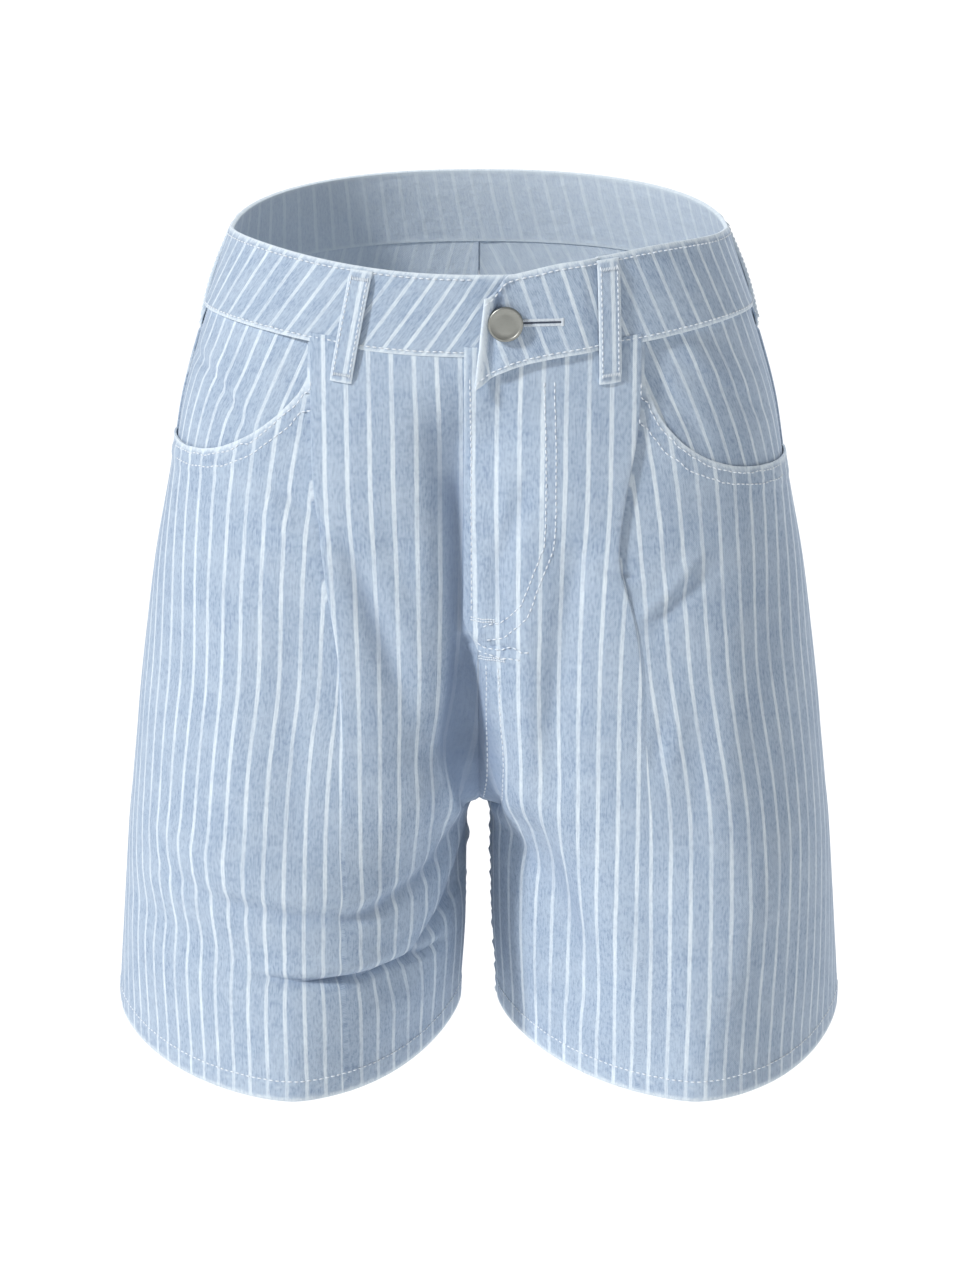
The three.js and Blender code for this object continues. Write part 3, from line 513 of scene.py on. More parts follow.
def front_path(sign, z, kind, t):
    """One column of a front at the heights z: distance along, height off the body, tilt of its face
    and the place across the cloth's pattern."""
    under, turn, step = (pleat(sign, key, z) for key in ("under", "turn", "step"))
    fold = pleat(sign, "along", z)
    grain = pleat(sign, "grain", z)
    angle = np.radians(turn)
    rounding = TURN * (1 - np.cos(angle))
    rise = np.maximum((step - 2 * rounding) / np.sin(np.minimum(angle, 3.1)), 0.3)
    run = np.where(angle > 3.1, np.maximum(under, 0.4), rise)
    lift = np.minimum(1, step / 3) * PLEAT_LIFT
    lapped, raised = (
        np.clip((z - FLY["foot"]) / FLY["runOut"] + early, 0, 1) if sign > 0 else 0 * z for early in (1, 2)
    )
    start = INSET - FLY["lap"] * lapped
    near = np.interp(z, LEVELS, NEAR_ALONG["front", sign])
    bend = fold - TURN
    flat_tilt = 0 * z
    if kind == "lap":
        s = start + (near - start) * t
        return s, LAYER * 1.05 * raised * beside(s - 1, 9), flat_tilt, s - grain
    if kind == "rise":
        s = near + (bend - near) * t
        return s, lift * ease((t - 0.2) / 0.8), flat_tilt, s - grain
    if kind == "over":
        a = angle * t
        return bend + TURN * np.sin(a), lift - TURN * (1 - np.cos(a)), a, fold - grain + TURN * (a - 1)
    s0 = bend + TURN * np.sin(angle)
    h0 = lift - rounding
    s1, h1 = s0 + run * np.cos(angle), h0 - run * np.sin(angle)
    hidden = pleat(sign, "hidden", z)
    if kind == "under":
        return s0 + (s1 - s0) * t, h0 + (h1 - h0) * t, angle, fold - grain + hidden * 0.5 * t
    if kind == "back":
        a = angle * (1 - t)
        return (
            s1 + TURN * (np.sin(angle) - np.sin(a)),
            h1 - TURN * (np.cos(a) - np.cos(angle)),
            a,
            fold - grain + hidden * (0.5 + 0.5 * t),
        )
    last_s = s1 + TURN * np.sin(angle)
    last_h = h1 - TURN * (1 - np.cos(angle))
    flat = np.maximum(fold + 3, last_s + 2)
    if kind == "flat":
        return flat, last_h, flat_tilt, flat - grain + hidden
    s = flat + (seam_length("front", sign, z) - INSET - flat) * t
    return s, last_h * beside(s - flat, PLEAT_FALL), flat_tilt, s - grain + hidden


def front_lift(sign, s, z):
    """How far the top layer of a front stands off the body at a place."""
    fold = pleat(sign, "along", z)
    flat, last, _, _ = front_path(sign, z, "flat", 0)
    return np.where(s > fold, last * beside(s - flat, PLEAT_FALL), PLEAT_LIFT * above(s / fold, 0.3, 0.6))


def even_points(path, count=None):
    """Evenly spaced points along a path of x and z, about 3 mm apart where no count is given."""
    path = np.array(path, float)
    run = np.r_[0, np.cumsum(np.hypot(*np.diff(path, axis=0).T))]
    even = np.linspace(0, run[-1], count or max(6, int(run[-1] / 3)))
    return np.interp(even, run, path[:, 0]), np.interp(even, run, path[:, 1])


def mouth_line(sign):
    line = np.stack(even_points(MOUTHS[SIDES[sign]], 240), 1)
    for _ in range(60):
        line[1:-1] = line[1:-1] * 0.5 + (line[:-2] + line[2:]) * 0.25
    return line


def beyond_line(line, x, z):
    """Signed distance from a line of x and z, above 0 on its inner and lower side."""
    a, b = line[:-1], line[1:]
    d = b - a
    best = np.full(x.shape, 1e9)
    side = np.zeros(x.shape)
    for (ax, az), (dx, dz) in zip(a, d):
        t = np.clip(((x - ax) * dx + (z - az) * dz) / (dx * dx + dz * dz), 0, 1)
        away = np.hypot(x - ax - dx * t, z - az - dz * t)
        turn = np.sign(-(dx * (z - az) - dz * (x - ax)))
        side = np.where(away < best, turn, side)
        best = np.minimum(best, away)
    return best * np.where(side == 0, 1, side)


MOUTH_LINE = {sign: mouth_line(sign) for sign in (1, -1)}


def pucker(along, away, line):
    """Cloth drawn up by a line of sewing ripples a little beside it."""
    centre, reach, high = PUCKERS[line]
    wave = np.sin(along * 2 * math.pi / 6.6 + 1.8 * np.sin(along / 15.0))
    wave = wave + 0.5 * np.sin(along * 2 * math.pi / 14.3 + 1)
    return high * wave * np.exp(-(((away - centre) / reach) ** 2))


def roped(along, away, reach=5.0):
    """The slanting light and dark of a hem or a felled seam after washing."""
    wave = np.sin((along + 0.8 * away) * 2 * math.pi / 6.6 + 1.8 * np.sin(along / 15.0))
    return np.maximum(wave, 0) * np.exp(-((away / reach) ** 2))


def edge_bell(away, wide=1.9):
    """How far the blue is paled by wear beside an edge; the same bell also sets the reach of the painted
    shade at the waistband's end.
    """
    return np.exp(-((away / wide) ** 2))


def welt(away, wide, high):
    """The doubled cloth beside a turned edge or a felled seam stands a little proud."""
    return high * beside(away - wide, 2) - 0.5 * beside(away, 1.6)


def side_groove(part, sign, s, z):
    """The cloth sinks a little into the side seam."""
    return -0.45 * beside(seam_length(part, sign, z) - s, 2.2)


def centre_back(sign, s, wide_and_high):
    """The felled seam down the back: its welt on the wearer's left, a groove on the right."""
    return welt(s, *wide_and_high) if sign > 0 else -0.5 * beside(s, 2)


def piece_object(name, bm, materials):
    mesh = bpy.data.meshes.new(name)
    bm.to_mesh(mesh)
    bm.free()
    mesh.shade_smooth()
    for material in materials:
        mesh.materials.append(material)
    piece = bpy.data.objects.new(name, mesh)
    bpy.context.collection.objects.link(piece)
    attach(piece, "root")
    return piece


def sheet_mesh(points, normals, uv):
    """A grid of cloth, rows by columns, with its pattern as a UV map in stripes."""
    rows, columns = points.shape[:2]
    bm = bmesh.new()
    layer = bm.loops.layers.uv.new("cloth")
    # Wear per point, with painted shade below zero
    wear_and_shade = bm.verts.layers.float.new("wear_and_shade")
    bmesh.ops.create_grid(bm, x_segments=columns - 1, y_segments=rows - 1, size=1)
    place = {}
    for vert in bm.verts:
        i = round((vert.co.y + 1) / 2 * (rows - 1))
        j = round((vert.co.x + 1) / 2 * (columns - 1))
        place[vert.index] = (i, j)
    for vert in bm.verts:
        vert.co = points[place[vert.index]] * MM
        vert[wear_and_shade] = uv[place[vert.index]][2]
    for face in bm.faces:
        for loop in face.loops:
            loop[layer].uv = uv[place[loop.vert.index]][:2]
    bm.normal_update()
    facing = sum(face.normal.dot(Vector(normals[place[face.verts[0].index]])) for face in bm.faces)
    if facing < 0:
        bmesh.ops.reverse_faces(bm, faces=bm.faces)
    return bm, place


def cut_sheet(bm, place, worth):
    """Cuts a sheet along the line where worth passes zero and keeps the part above it."""
    value = {vert: float(worth[place[vert.index]]) for vert in bm.verts}
    made = []
    for edge in list(bm.edges):
        a, b = edge.verts
        if value[a] * value[b] < 0:
            _, vert = bmesh.utils.edge_split(edge, a, value[a] / (value[a] - value[b]))
            value[vert] = 0.0
            made.append(vert)
    bmesh.ops.connect_verts(bm, verts=made)
    gone = [face for face in bm.faces if sum(value[v] for v in face.verts) < 0]
    bmesh.ops.delete(bm, geom=gone, context="FACES")
    return bm


def thicken(piece, wall, rim=0.35):
    """A wall of cloth either side of the sheet, with its paler inside and softly rounded rims."""
    solid = piece.modifiers.new("cloth", "SOLIDIFY")
    solid.thickness = wall * MM
    solid.offset = 0
    solid.material_offset = 1
    solid.use_quality_normals = True
    bevel = piece.modifiers.new("rim", "BEVEL")
    bevel.width = rim * MM
    bevel.segments = 2
    bevel.limit_method = "ANGLE"
    bevel.angle_limit = math.radians(62)
    bevel.harden_normals = False
    return piece


def as_arrays(p, tilt=None, sign=1):
    nx, ny = p["nx"], p["ny"]
    if tilt is not None:
        sine, cosine = np.sin(tilt) * sign, np.cos(tilt)
        nx, ny = nx * cosine - ny * sine, ny * cosine + nx * sine
    return np.stack([p["x"], p["y"], p["z"]], -1), np.stack([nx, ny, 0 * nx], -1)


class Columns:
    """Gathers a sheet of cloth column by column, with its pattern and any line it is cut along."""

    def __init__(self):
        self.points, self.normals, self.pattern, self.worth = [], [], [], []

    def add(self, p, across, down, wear_and_shade, worth=None, tilt=None, sign=1):
        points, normals = as_arrays(p, tilt, sign)
        self.points.append(points)
        self.normals.append(normals)
        self.pattern.append(np.stack([across / PITCH, down / PITCH, wear_and_shade], -1))
        self.worth.append(worth)

    def mesh(self):
        self.points, self.normals = np.stack(self.points, 1), np.stack(self.normals, 1)
        bm, place = sheet_mesh(self.points, self.normals, np.stack(self.pattern, 1))
        return bm if self.worth[0] is None else cut_sheet(bm, place, np.stack(self.worth, 1))


def rows_between(top, foot):
    return np.linspace(top, foot, int(round((top - foot) / CELL)) + 1)


HEM_TURN = ((0.5, 0.3), (0.75, 0.95), (0.4, 1.6), (-4, 1.75), (-8.5, 1.75), (-HEM, 1.75))


def hemmed(levels, top, top_here, y):
    """Heights of a column down to its hem and round the turned hem, how far inside the cloth lies
    there, the run of its pattern and its height above the hem."""
    z = row_height(levels, top, float(SIDE_HEM), top_here, SIDE_HEM - hem_dip(y))
    hem_z = z[-1]
    down = np.r_[z, hem_z - np.cumsum(np.full(len(HEM_TURN), 2.0))]
    z = np.r_[z, [hem_z - dz for dz, _ in HEM_TURN]]
    return z, np.r_[0 * levels, [h for _, h in HEM_TURN]], down, z - hem_z


def front_sheet(sign):
    levels = rows_between(FRONT_TOP, float(SIDE_HEM))
    sheet = Columns()
    for kind, t in FRONT_COLUMNS:
        rough = cloth("front", sign, front_path(sign, levels, kind, t)[0], levels, creased=False)
        top_here = panel_top("front", rough["deep"]) + UNDER_BAND
        z, inside, down, up = hemmed(levels, FRONT_TOP, top_here, rough["y"])
        s, h, tilt, across = front_path(sign, z, kind, t)
        here = cloth("front", sign, s, z, creased=False)
        edge = s - front_path(sign, z, "lap", 0)[0]
        away, detail = 99.0 + 0 * z, 0 * z
        if kind in ("flat", "out"):
            away = beyond_line(MOUTH_LINE[sign], here["x"] * sign, z)
            detail = welt(np.abs(away), *WELTS["mouth"]) + pucker(here["x"] - z, np.abs(away), "mouth")
        detail = detail + np.where(inside > 0, 0, 0.5 * beside(up - HEM, 1.5))
        detail = detail + pucker(s, up, "hem")
        if sign > 0:
            detail = detail + pucker(z, edge, "fly edge") * above(z, -310, 20)
            detail = detail + pucker(s * 1.3, z + 190, "fly foot") * beside(s - 22, 8)
            detail = detail + pucker(z, s - 35, "fly curve") * above(z, -165, 20)
        if kind == "lap":
            detail = detail - 0.35 * beside(edge, 1.8)
        if kind == "out":
            detail = detail + side_groove("front", sign, s, z)
        p = cloth("front", sign, s, z, h + detail - inside)
        if kind in ("lap", "rise"):
            straight = here["x"] * sign - GRAIN_AT
            below = ease((STRAIGHTEN["from"] - z) / STRAIGHTEN["over"])
            across = across + STRAIGHTEN["share"] * (straight - across) * below
        drawn = 1 - GATHER["share"] * above(z, GATHER["from"], GATHER["over"])
        across = (across + GATHER["about"]) * drawn - GATHER["about"]
        wear_and_shade = np.maximum(edge_bell(np.abs(away)), edge_bell(np.maximum(up, 0)))
        wear_and_shade = wear_and_shade + 0.5 * roped(s, up - 7) + 0.4 * roped(here["x"] - z, np.abs(away) - 5)
        if kind == "over":
            wear_and_shade = wear_and_shade + 0.45 * math.sin(math.pi * t) * above(z, -230, 60)
        if kind == "lap" and sign > 0:
            wear_and_shade = np.maximum(wear_and_shade, 0.8 * edge_bell(edge, 1.3) * above(z, -200, 10))
        # The creases add their painted shade in hollows, and their ridge wear, to the wear channel
        sheet.add(p, across, down, wear_and_shade + crease_shade_and_wear("front", here["x"], z), away, tilt, sign)
    return sheet


def back_along(sign, share, z):
    """Distance along a back at a share of its width, with closer columns beside the middle."""
    length = seam_length("back", sign, z)
    near = np.interp(z, LEVELS, NEAR_ALONG["back", sign])
    inner = INSET + (near - INSET) * share / NEAR_SHARE
    outer = near + (length - INSET - near) * (share - NEAR_SHARE) / (1 - NEAR_SHARE)
    return np.where(share < NEAR_SHARE, inner, outer)


def yoke_seam(sign, share):
    z = np.full_like(np.asarray(share, float), YOKE_SEAM["side"])
    y = cloth("back", sign, back_along(sign, share, z), z, creased=False)["y"]
    t = np.clip(y / 100, 0, 1)
    dip = (YOKE_SEAM["centre"] - YOKE_SEAM["side"]) * t
    return YOKE_SEAM["side"] + dip + YOKE_SEAM["sag"] * np.sin(math.pi * t)


BACK_SHARES = np.r_[np.linspace(0, NEAR_SHARE, 13), np.linspace(NEAR_SHARE, 1, 68)[1:]]


def back_sheet(sign):
    levels = rows_between(BACK_TOP, float(SIDE_HEM))
    sheet = Columns()
    for share in BACK_SHARES:
        rough = cloth("back", sign, back_along(sign, share, levels), levels, creased=False)
        seam = float(yoke_seam(sign, share))
        z, inside, down, up = hemmed(levels, BACK_TOP, seam + UNDER_YOKE, rough["y"])
        s = back_along(sign, share, z)
        detail = np.where(inside > 0, 0, 0.45 * beside(up - HEM, 1.5)) + side_groove("back", sign, s, z)
        detail = detail + centre_back(sign, s, WELTS["centre back"])
        detail = detail + pucker(z, s, "felled seam" if sign > 0 else "plain seam") + pucker(s, up, "hem")
        detail = detail - 1.3 * ease((z - seam + 2.5) / 2)
        p = cloth("back", sign, s, z, detail - inside)
        wear_and_shade = edge_bell(np.maximum(up, 0)) + 0.5 * roped(s, up - 7)
        wear_and_shade = wear_and_shade + (roped(z, s - 4.5) if sign > 0 else 0.3 * roped(z, s - 2))
        # The creases add their painted shade in hollows, and their ridge wear, to the wear channel
        wear_and_shade = wear_and_shade + crease_shade_and_wear("back", p["x"], z)
        across = SECTION["back", sign].long(z) - s
        if sign < 0:
            rise = np.maximum(z - BACK_LEAN["from"], 0)
            bend = BACK_LEAN["bend"] * (1 - np.exp(-rise / BACK_LEAN["bend"]))
            across = across + math.tan(math.radians(BACK_LEAN["most"])) * (rise - bend)
        sheet.add(p, across, down, wear_and_shade)
    return sheet


def yoke_sheet(sign):
    sheet = Columns()
    lean = math.tan(math.radians(YOKE_LEAN[sign]))
    for share in BACK_SHARES:
        level = YOKE_SEAM["side"]
        side = cloth("back", sign, back_along(sign, share, level), level, creased=False)
        seam = float(yoke_seam(sign, share))
        z = np.linspace(float(panel_top("back", side["deep"])) + UNDER_BAND, seam, 12)
        s = back_along(sign, share, z)
        detail = welt(z - seam, *WELTS["yoke"]) + centre_back(sign, s, WELTS["yoke"])
        detail = detail + pucker(s, z - seam, "yoke") + side_groove("back", sign, s, z)
        across = SECTION["back", sign].long(z) - s + (seam - z) * lean + 4.0
        wear_and_shade = edge_bell(z - seam) + 0.6 * roped(s, z - seam - 4.5)
        sheet.add(cloth("back", sign, s, z, detail), across, z, wear_and_shade)
    return sheet


def facing_sheet(sign):
    """The side piece inside a pocket's mouth, cut a little past the mouth's edge."""
    section = SECTION["front", sign]
    levels = np.linspace(-36, -148, 42)
    sheet = Columns()
    moved = MOUTH_LINE[sign] - MOUTH_UNDERLAP
    for t in np.linspace(0, 1, 44):
        inner = section.along_to(FACING_INNER, levels)
        rough = cloth("front", sign, inner + (section.long(levels) - inner) * t, levels, creased=False)
        top_here = panel_top("front", rough["deep"]) + UNDER_BAND
        z = row_height(levels, FRONT_TOP, SIDE_HEM, top_here, SIDE_HEM)
        inner = section.along_to(FACING_INNER, z)
        length = seam_length("front", sign, z)
        s = inner + (length - INSET - inner) * t
        lift = front_lift(sign, s, z) - LAYER + side_groove("front", sign, s, z)
        p = cloth("front", sign, s, z, lift)
        across = s - length - (z + 50) * math.tan(math.radians(FACING_LEAN))
        sheet.add(p, across, z, 0 * z, -beyond_line(moved, p["x"] * sign, z))
    return sheet


def patch_sheet(sign):
    in_top, out_top, out_low, tip, in_low = (np.array(c, float) for c in PATCHES[SIDES[sign]])
    section = SECTION["back", sign]
    share_tip = (tip[0] - in_low[0]) / (out_low[0] - in_low[0])
    columns = np.r_[np.linspace(0, share_tip, 19), np.linspace(share_tip, 1, 13)[1:]]
    sheet = Columns()
    lean = (in_low[0] - in_top[0]) / (in_top[1] - in_low[1])
    width = float(np.hypot(*(out_top - in_top)))
    q = np.linspace(0, 1, 46)
    for t in columns:
        upper = in_top + (out_top - in_top) * t
        if t <= share_tip:
            lower = in_low + (tip - in_low) * t / share_tip
        else:
            lower = tip + (out_low - tip) * (t - share_tip) / (1 - share_tip)
        height = float(np.hypot(*(lower - upper)))
        x, z = (upper + (lower - upper) * q[:, None]).T
        s = section.along_to(x, z)
        rim = np.minimum(np.minimum(t, 1 - t) * width, np.minimum(q, 1 - q) * height)
        hem = welt(q * height, *WELTS["pocket"])
        bulge = 1.1 * np.sin(math.pi * t) ** 0.8 * np.sin(math.pi * np.clip(q, 0, 1)) ** 0.8
        crown = 0.5 * beside(rim - 6, 2) - 0.8 * beside(rim, 1.5)
        high = PATCH_LIFT + bulge + np.maximum(hem, crown) * 0.8 + pucker(s + z, rim, "pocket")
        axis = section.along_to(in_top[0] + lean * (in_top[1] - z), z)
        wear_and_shade = 0.9 * edge_bell(rim) + 0.5 * roped(s + z, rim - 5)
        sheet.add(cloth("back", sign, s, z, high), s - axis + 5.0, z, wear_and_shade)
    return sheet


def band_stops(total):
    """Places of the waistband's columns from its right end, under the front, round the back to its
    left end: part, side, distance along in front or share of the back, and how far it stands off."""
    stops = [("front", -1, s, 0.0) for s in np.arange(-BAND_LAP, 0, 3.0)]
    stops += [("front", -1, share * total, 0.0) for share in np.linspace(0, 1, 60)]
    stops += [("back", -1, share, 0.0) for share in np.linspace(1, 0, 60)[1:]]
    stops += [("back", 1, share, 0.0) for share in np.linspace(0, 1, 60)[1:]]
    stops += [("front", 1, share * total, 0.0) for share in np.linspace(1, 62 / total, 44)[1:]]
    places, lifts = np.array(OVER_END[::-1], float).T
    ends = np.r_[np.linspace(60, 0, 24), -1.0, -2.0]
    return stops + [("front", 1, s, float(np.interp(s, places, lifts))) for s in ends]


def band_column(stop, total, drops):
    """One column of the waistband down its height."""
    part, sign, place, lift = stop
    section = SECTION[part, sign]
    level_long = float(section.long(BAND_LEVEL))
    s20 = place if part == "front" else place * level_long
    if part == "front" and place > 0 and lift == 0:
        s20 = place / total * level_long
    deep = float(cloth(part, sign, s20, BAND_LEVEL, creased=False)["deep"])
    droop, near, cut = 0, 0.0, 0.0
    if lift > 0:
        droop = END_DROOP["most"] * math.exp((END_DROOP["at"] - place) / END_DROOP["over"])
        near = 1 - float(ease(place / END_CURL["over"]))
        cut = END_CUT["most"] * (1 - min(max((place - END_CUT["from"]) / END_CUT["over"], 0), 1))
    rise = left_rise(place) * (1 - drops) if part == "front" and sign > 0 else 0
    z = waist_edge(part, deep) - BAND_HEIGHT * drops
    z = z - droop * (0.1 + 0.9 * drops) - cut * (1 - drops) + rise
    if part == "front" and (place <= 0 or lift > 0):
        s = place + END_CURL["lean"] * (1 - drops) * near
    else:
        s = (place / total if part == "front" else place) * section.long(z)
    edge = np.minimum(drops, 1 - drops) * BAND_HEIGHT
    detail = 0.35 * beside(edge - 2, 1.4) - 0.5 * beside(edge, 1.3) + pucker(s20 * sign, edge, "band")
    if lift > 0:
        detail = detail + END_CURL["lift"] * near * beside(drops, 0.45)
        detail = detail + 1.8 * edge_bell(place + 2, 2.6) - 2.0 * edge_bell(place - 5.5, 3.0)
    return cloth(part, sign, s, z, lift + detail, lap=True)


def band_sheet():
    total = float(SECTION["front", 1].long(BAND_LEVEL))
    stops = band_stops(total)
    drops = np.linspace(0, 1, 17)
    columns = [band_column(stop, total, drops) for stop in stops]
    middles = [as_arrays(p)[0][8] for p in columns]
    run = np.cumsum([0.0] + [float(np.linalg.norm(b - a)) for a, b in zip(middles, middles[1:])])
    edge = np.minimum(drops, 1 - drops) * BAND_HEIGHT
    sheet = Columns()
    for p, along, (part, sign, place, lift) in zip(columns, run, stops):
        share = along / run[-1]
        turn, most = (1, BAND_TILT["right"]) if share < 0.5 else (-1, BAND_TILT["left"])
        out = ease(abs(share - 0.5) * 2)
        tilt = turn * (most * out ** 0.8) + BAND_TILT["back"] * (1 - out)
        slant = math.tan(math.radians(tilt)) * (drops - 0.5) * BAND_HEIGHT
        wear_and_shade = edge_bell(edge, 1.6) + 0.35 * roped(along, edge - 3.5, 3.0)
        if part == "front" and lift > 3:
            wear_and_shade = np.maximum(wear_and_shade, 1.2 * edge_bell(place + 1.0, 2.2))
            # Painted shade: darker under the curled top corner of the lapped end and in the hollow beside
            # the button
            wear_and_shade = wear_and_shade - 0.95 * edge_bell(place - 7, 5.0) * beside(drops - 0.12, 0.4)
            wear_and_shade = wear_and_shade - 0.7 * edge_bell(place - 4.5, 1.6) * (1 - 0.5 * drops)
        sheet.add(p, along - slant, -drops * BAND_HEIGHT, wear_and_shade)
    return sheet


def loop_sheet(name):
    part, x, lean, behind = LOOPS[name]
    off = LOOP_OFF["side" if behind else "lift"]
    bow = LOOP_OFF["sideBow" if behind else "bow"]
    rows = np.linspace(0, 1, 28)
    high = BAND_HEIGHT + LOOP_BELOW
    sheet = Columns()
    for w in np.linspace(-1, 1, 9):
        aside = w * LOOP_WIDTH / 2
        column = []
        for t, ax in zip(rows, x + lean * rows + aside):
            sign = (1 if x > 0 else -1) if behind else (1 if ax >= 0 else -1)
            section = SECTION[part, sign]

            def along(z):
                if behind:
                    return float(section.long(z)) - behind - aside
                return float(section.along_to(abs(ax), z))

            at_level = along(LOOP_LEVEL)
            deep = float(cloth(part, sign, at_level, LOOP_LEVEL, creased=False)["deep"])
            z = waist_edge(part, deep) - 1 - high * t
            if part == "front" and sign > 0:
                z += float(left_rise(at_level)) * (1 - t)
            held = 0.9 * (1 - float(ease((min(t, 1 - t) - 0.03) / 0.05)))
            crown = 0.45 * (1 - w * w) ** 0.5 - 0.25
            lift = off + bow * math.sin(math.pi * t) - held + crown
            column.append(cloth(part, sign, along(z), z, lift, lap=True))
        p = {key: np.stack([place[key] for place in column]) for key in column[0]}
        ends = np.minimum(rows, 1 - rows) * high
        wear_and_shade = np.maximum(edge_bell((1 - abs(w)) * LOOP_WIDTH / 2, 1.3), edge_bell(ends, 1.6))
        sheet.add(p, 0 * rows + aside + 3.5, -rows * high, wear_and_shade)
    return sheet


class Sewing:
    """Lines of stitches laid on finished sheets, each stitch a small round of thread."""

    def __init__(self):
        self.trees = {}
        self.lines = []

    def hold(self, name, bm):
        self.trees[name] = BVHTree.FromBMesh(bm)

    def line(self, on, points, lift=0.62, length=STITCH, gap=0.75, radius=THREAD):
        """A line along points given near the named sheet, in millimetres."""
        tree = self.trees[on]
        laid = []
        for point in points:
            place, normal, _, _ = tree.find_nearest(Vector(point) * MM)
            laid.append((place / MM + normal * lift, normal))
        run = [0.0]
        for (a, _), (b, _) in zip(laid, laid[1:]):
            run.append(run[-1] + (b - a).length)
        count = max(1, int(run[-1] / length))
        pitch = run[-1] / count
        xs = np.array([[*p] for p, _ in laid])
        ns = np.array([[*n] for _, n in laid])

        def at(d):
            return (
                Vector([float(np.interp(d, run, xs[:, k])) for k in range(3)]),
                Vector([float(np.interp(d, run, ns[:, k])) for k in range(3)]),
            )

        for k in range(count):
            a, n = at(k * pitch + gap / 2)
            b, _ = at((k + 1) * pitch - gap / 2)
            self.lines.append((a, b, n.normalized(), radius))

    def stitch(self, a, b, normal, radius=THREAD):
        self.lines.append((a, b, normal, radius))

    def make(self, name, material):
        whole = bmesh.new()
        batch = bmesh.new()
        mesh = bpy.data.meshes.new("batch")
        for count, (a, b, normal, radius) in enumerate(self.lines):
            along = b - a
            if along.length < SHORTEST:
                continue
            x = along.normalized()
            z = (normal - x * normal.dot(x)).normalized()
            y = z.cross(x)
            turn = Matrix((x, y, z)).transposed().to_4x4()
            size = Matrix.Diagonal((along.length / 2 + 0.15, radius, radius * 0.8, 1))
            place = Matrix.Translation((a + b) / 2 * MM) @ turn @ Matrix.Scale(MM, 4) @ size
            bmesh.ops.create_icosphere(batch, subdivisions=1, radius=1, matrix=place)
            if count % 150 == 149 or count == len(self.lines) - 1:
                batch.to_mesh(mesh)
                whole.from_mesh(mesh)
                batch.clear()
        batch.free()
        bpy.data.meshes.remove(mesh)
        self.lines = []
        return piece_object(name, whole, [material])


SEWING = Sewing()


class Nodes:
    """Short calls for a node tree: a node with its inputs set by number, name, or a link."""

    def __init__(self, tree):
        self.tree = tree

    def add(self, kind, inputs=None, **settings):
        node = self.tree.nodes.new(kind)
        for key, value in settings.items():
            setattr(node, key, value)
        return self.feed(node, inputs or {})

    def feed(self, node, inputs):
        """Sets inputs by number or name, each to a value or a link."""
        for key, value in inputs.items():
            if isinstance(value, bpy.types.NodeSocket):
                self.tree.links.new(value, node.inputs[key])
            else:
                node.inputs[key].default_value = value
        return node

    def math(self, operation, a, b=0.0, c=0.0):
        return self.add("ShaderNodeMath", {0: a, 1: b, 2: c}, operation=operation).outputs[0]

    def times(self, a, b):
        return self.math("MULTIPLY", a, b)

    def plus(self, a, b):
        return self.math("ADD", a, b)

    def scaled(self, vector, factors):
        inputs = {0: vector, 1: factors}
        return self.add("ShaderNodeVectorMath", inputs, operation="MULTIPLY").outputs[0]

    def bump(self, strength, distance, height, **normal):
        inputs = {"Strength": strength, "Distance": distance, "Height": height, **normal}
        return self.add("ShaderNodeBump", inputs).outputs[0]

    def mix(self, factor, a, b):
        node = self.add("ShaderNodeMix", data_type="RGBA")
        return self.feed(node, {0: factor, 6: a, 7: b}).outputs[2]

    def ramp(self, value, low, high, to_low=0.0, to_high=1.0):
        node = self.add("ShaderNodeMapRange", {0: value, 1: low, 2: high, 3: to_low, 4: to_high})
        node.interpolation_type = "SMOOTHSTEP"
        return node.outputs[0]

    def noise(self, vector, scale, detail=2.0, rough=0.5):
        return self.add(
            "ShaderNodeTexNoise", {"Vector": vector, "Scale": scale, "Detail": detail, "Roughness": rough}
        ).outputs[0]


def rgb(colour):
    return (*colour, 1.0)


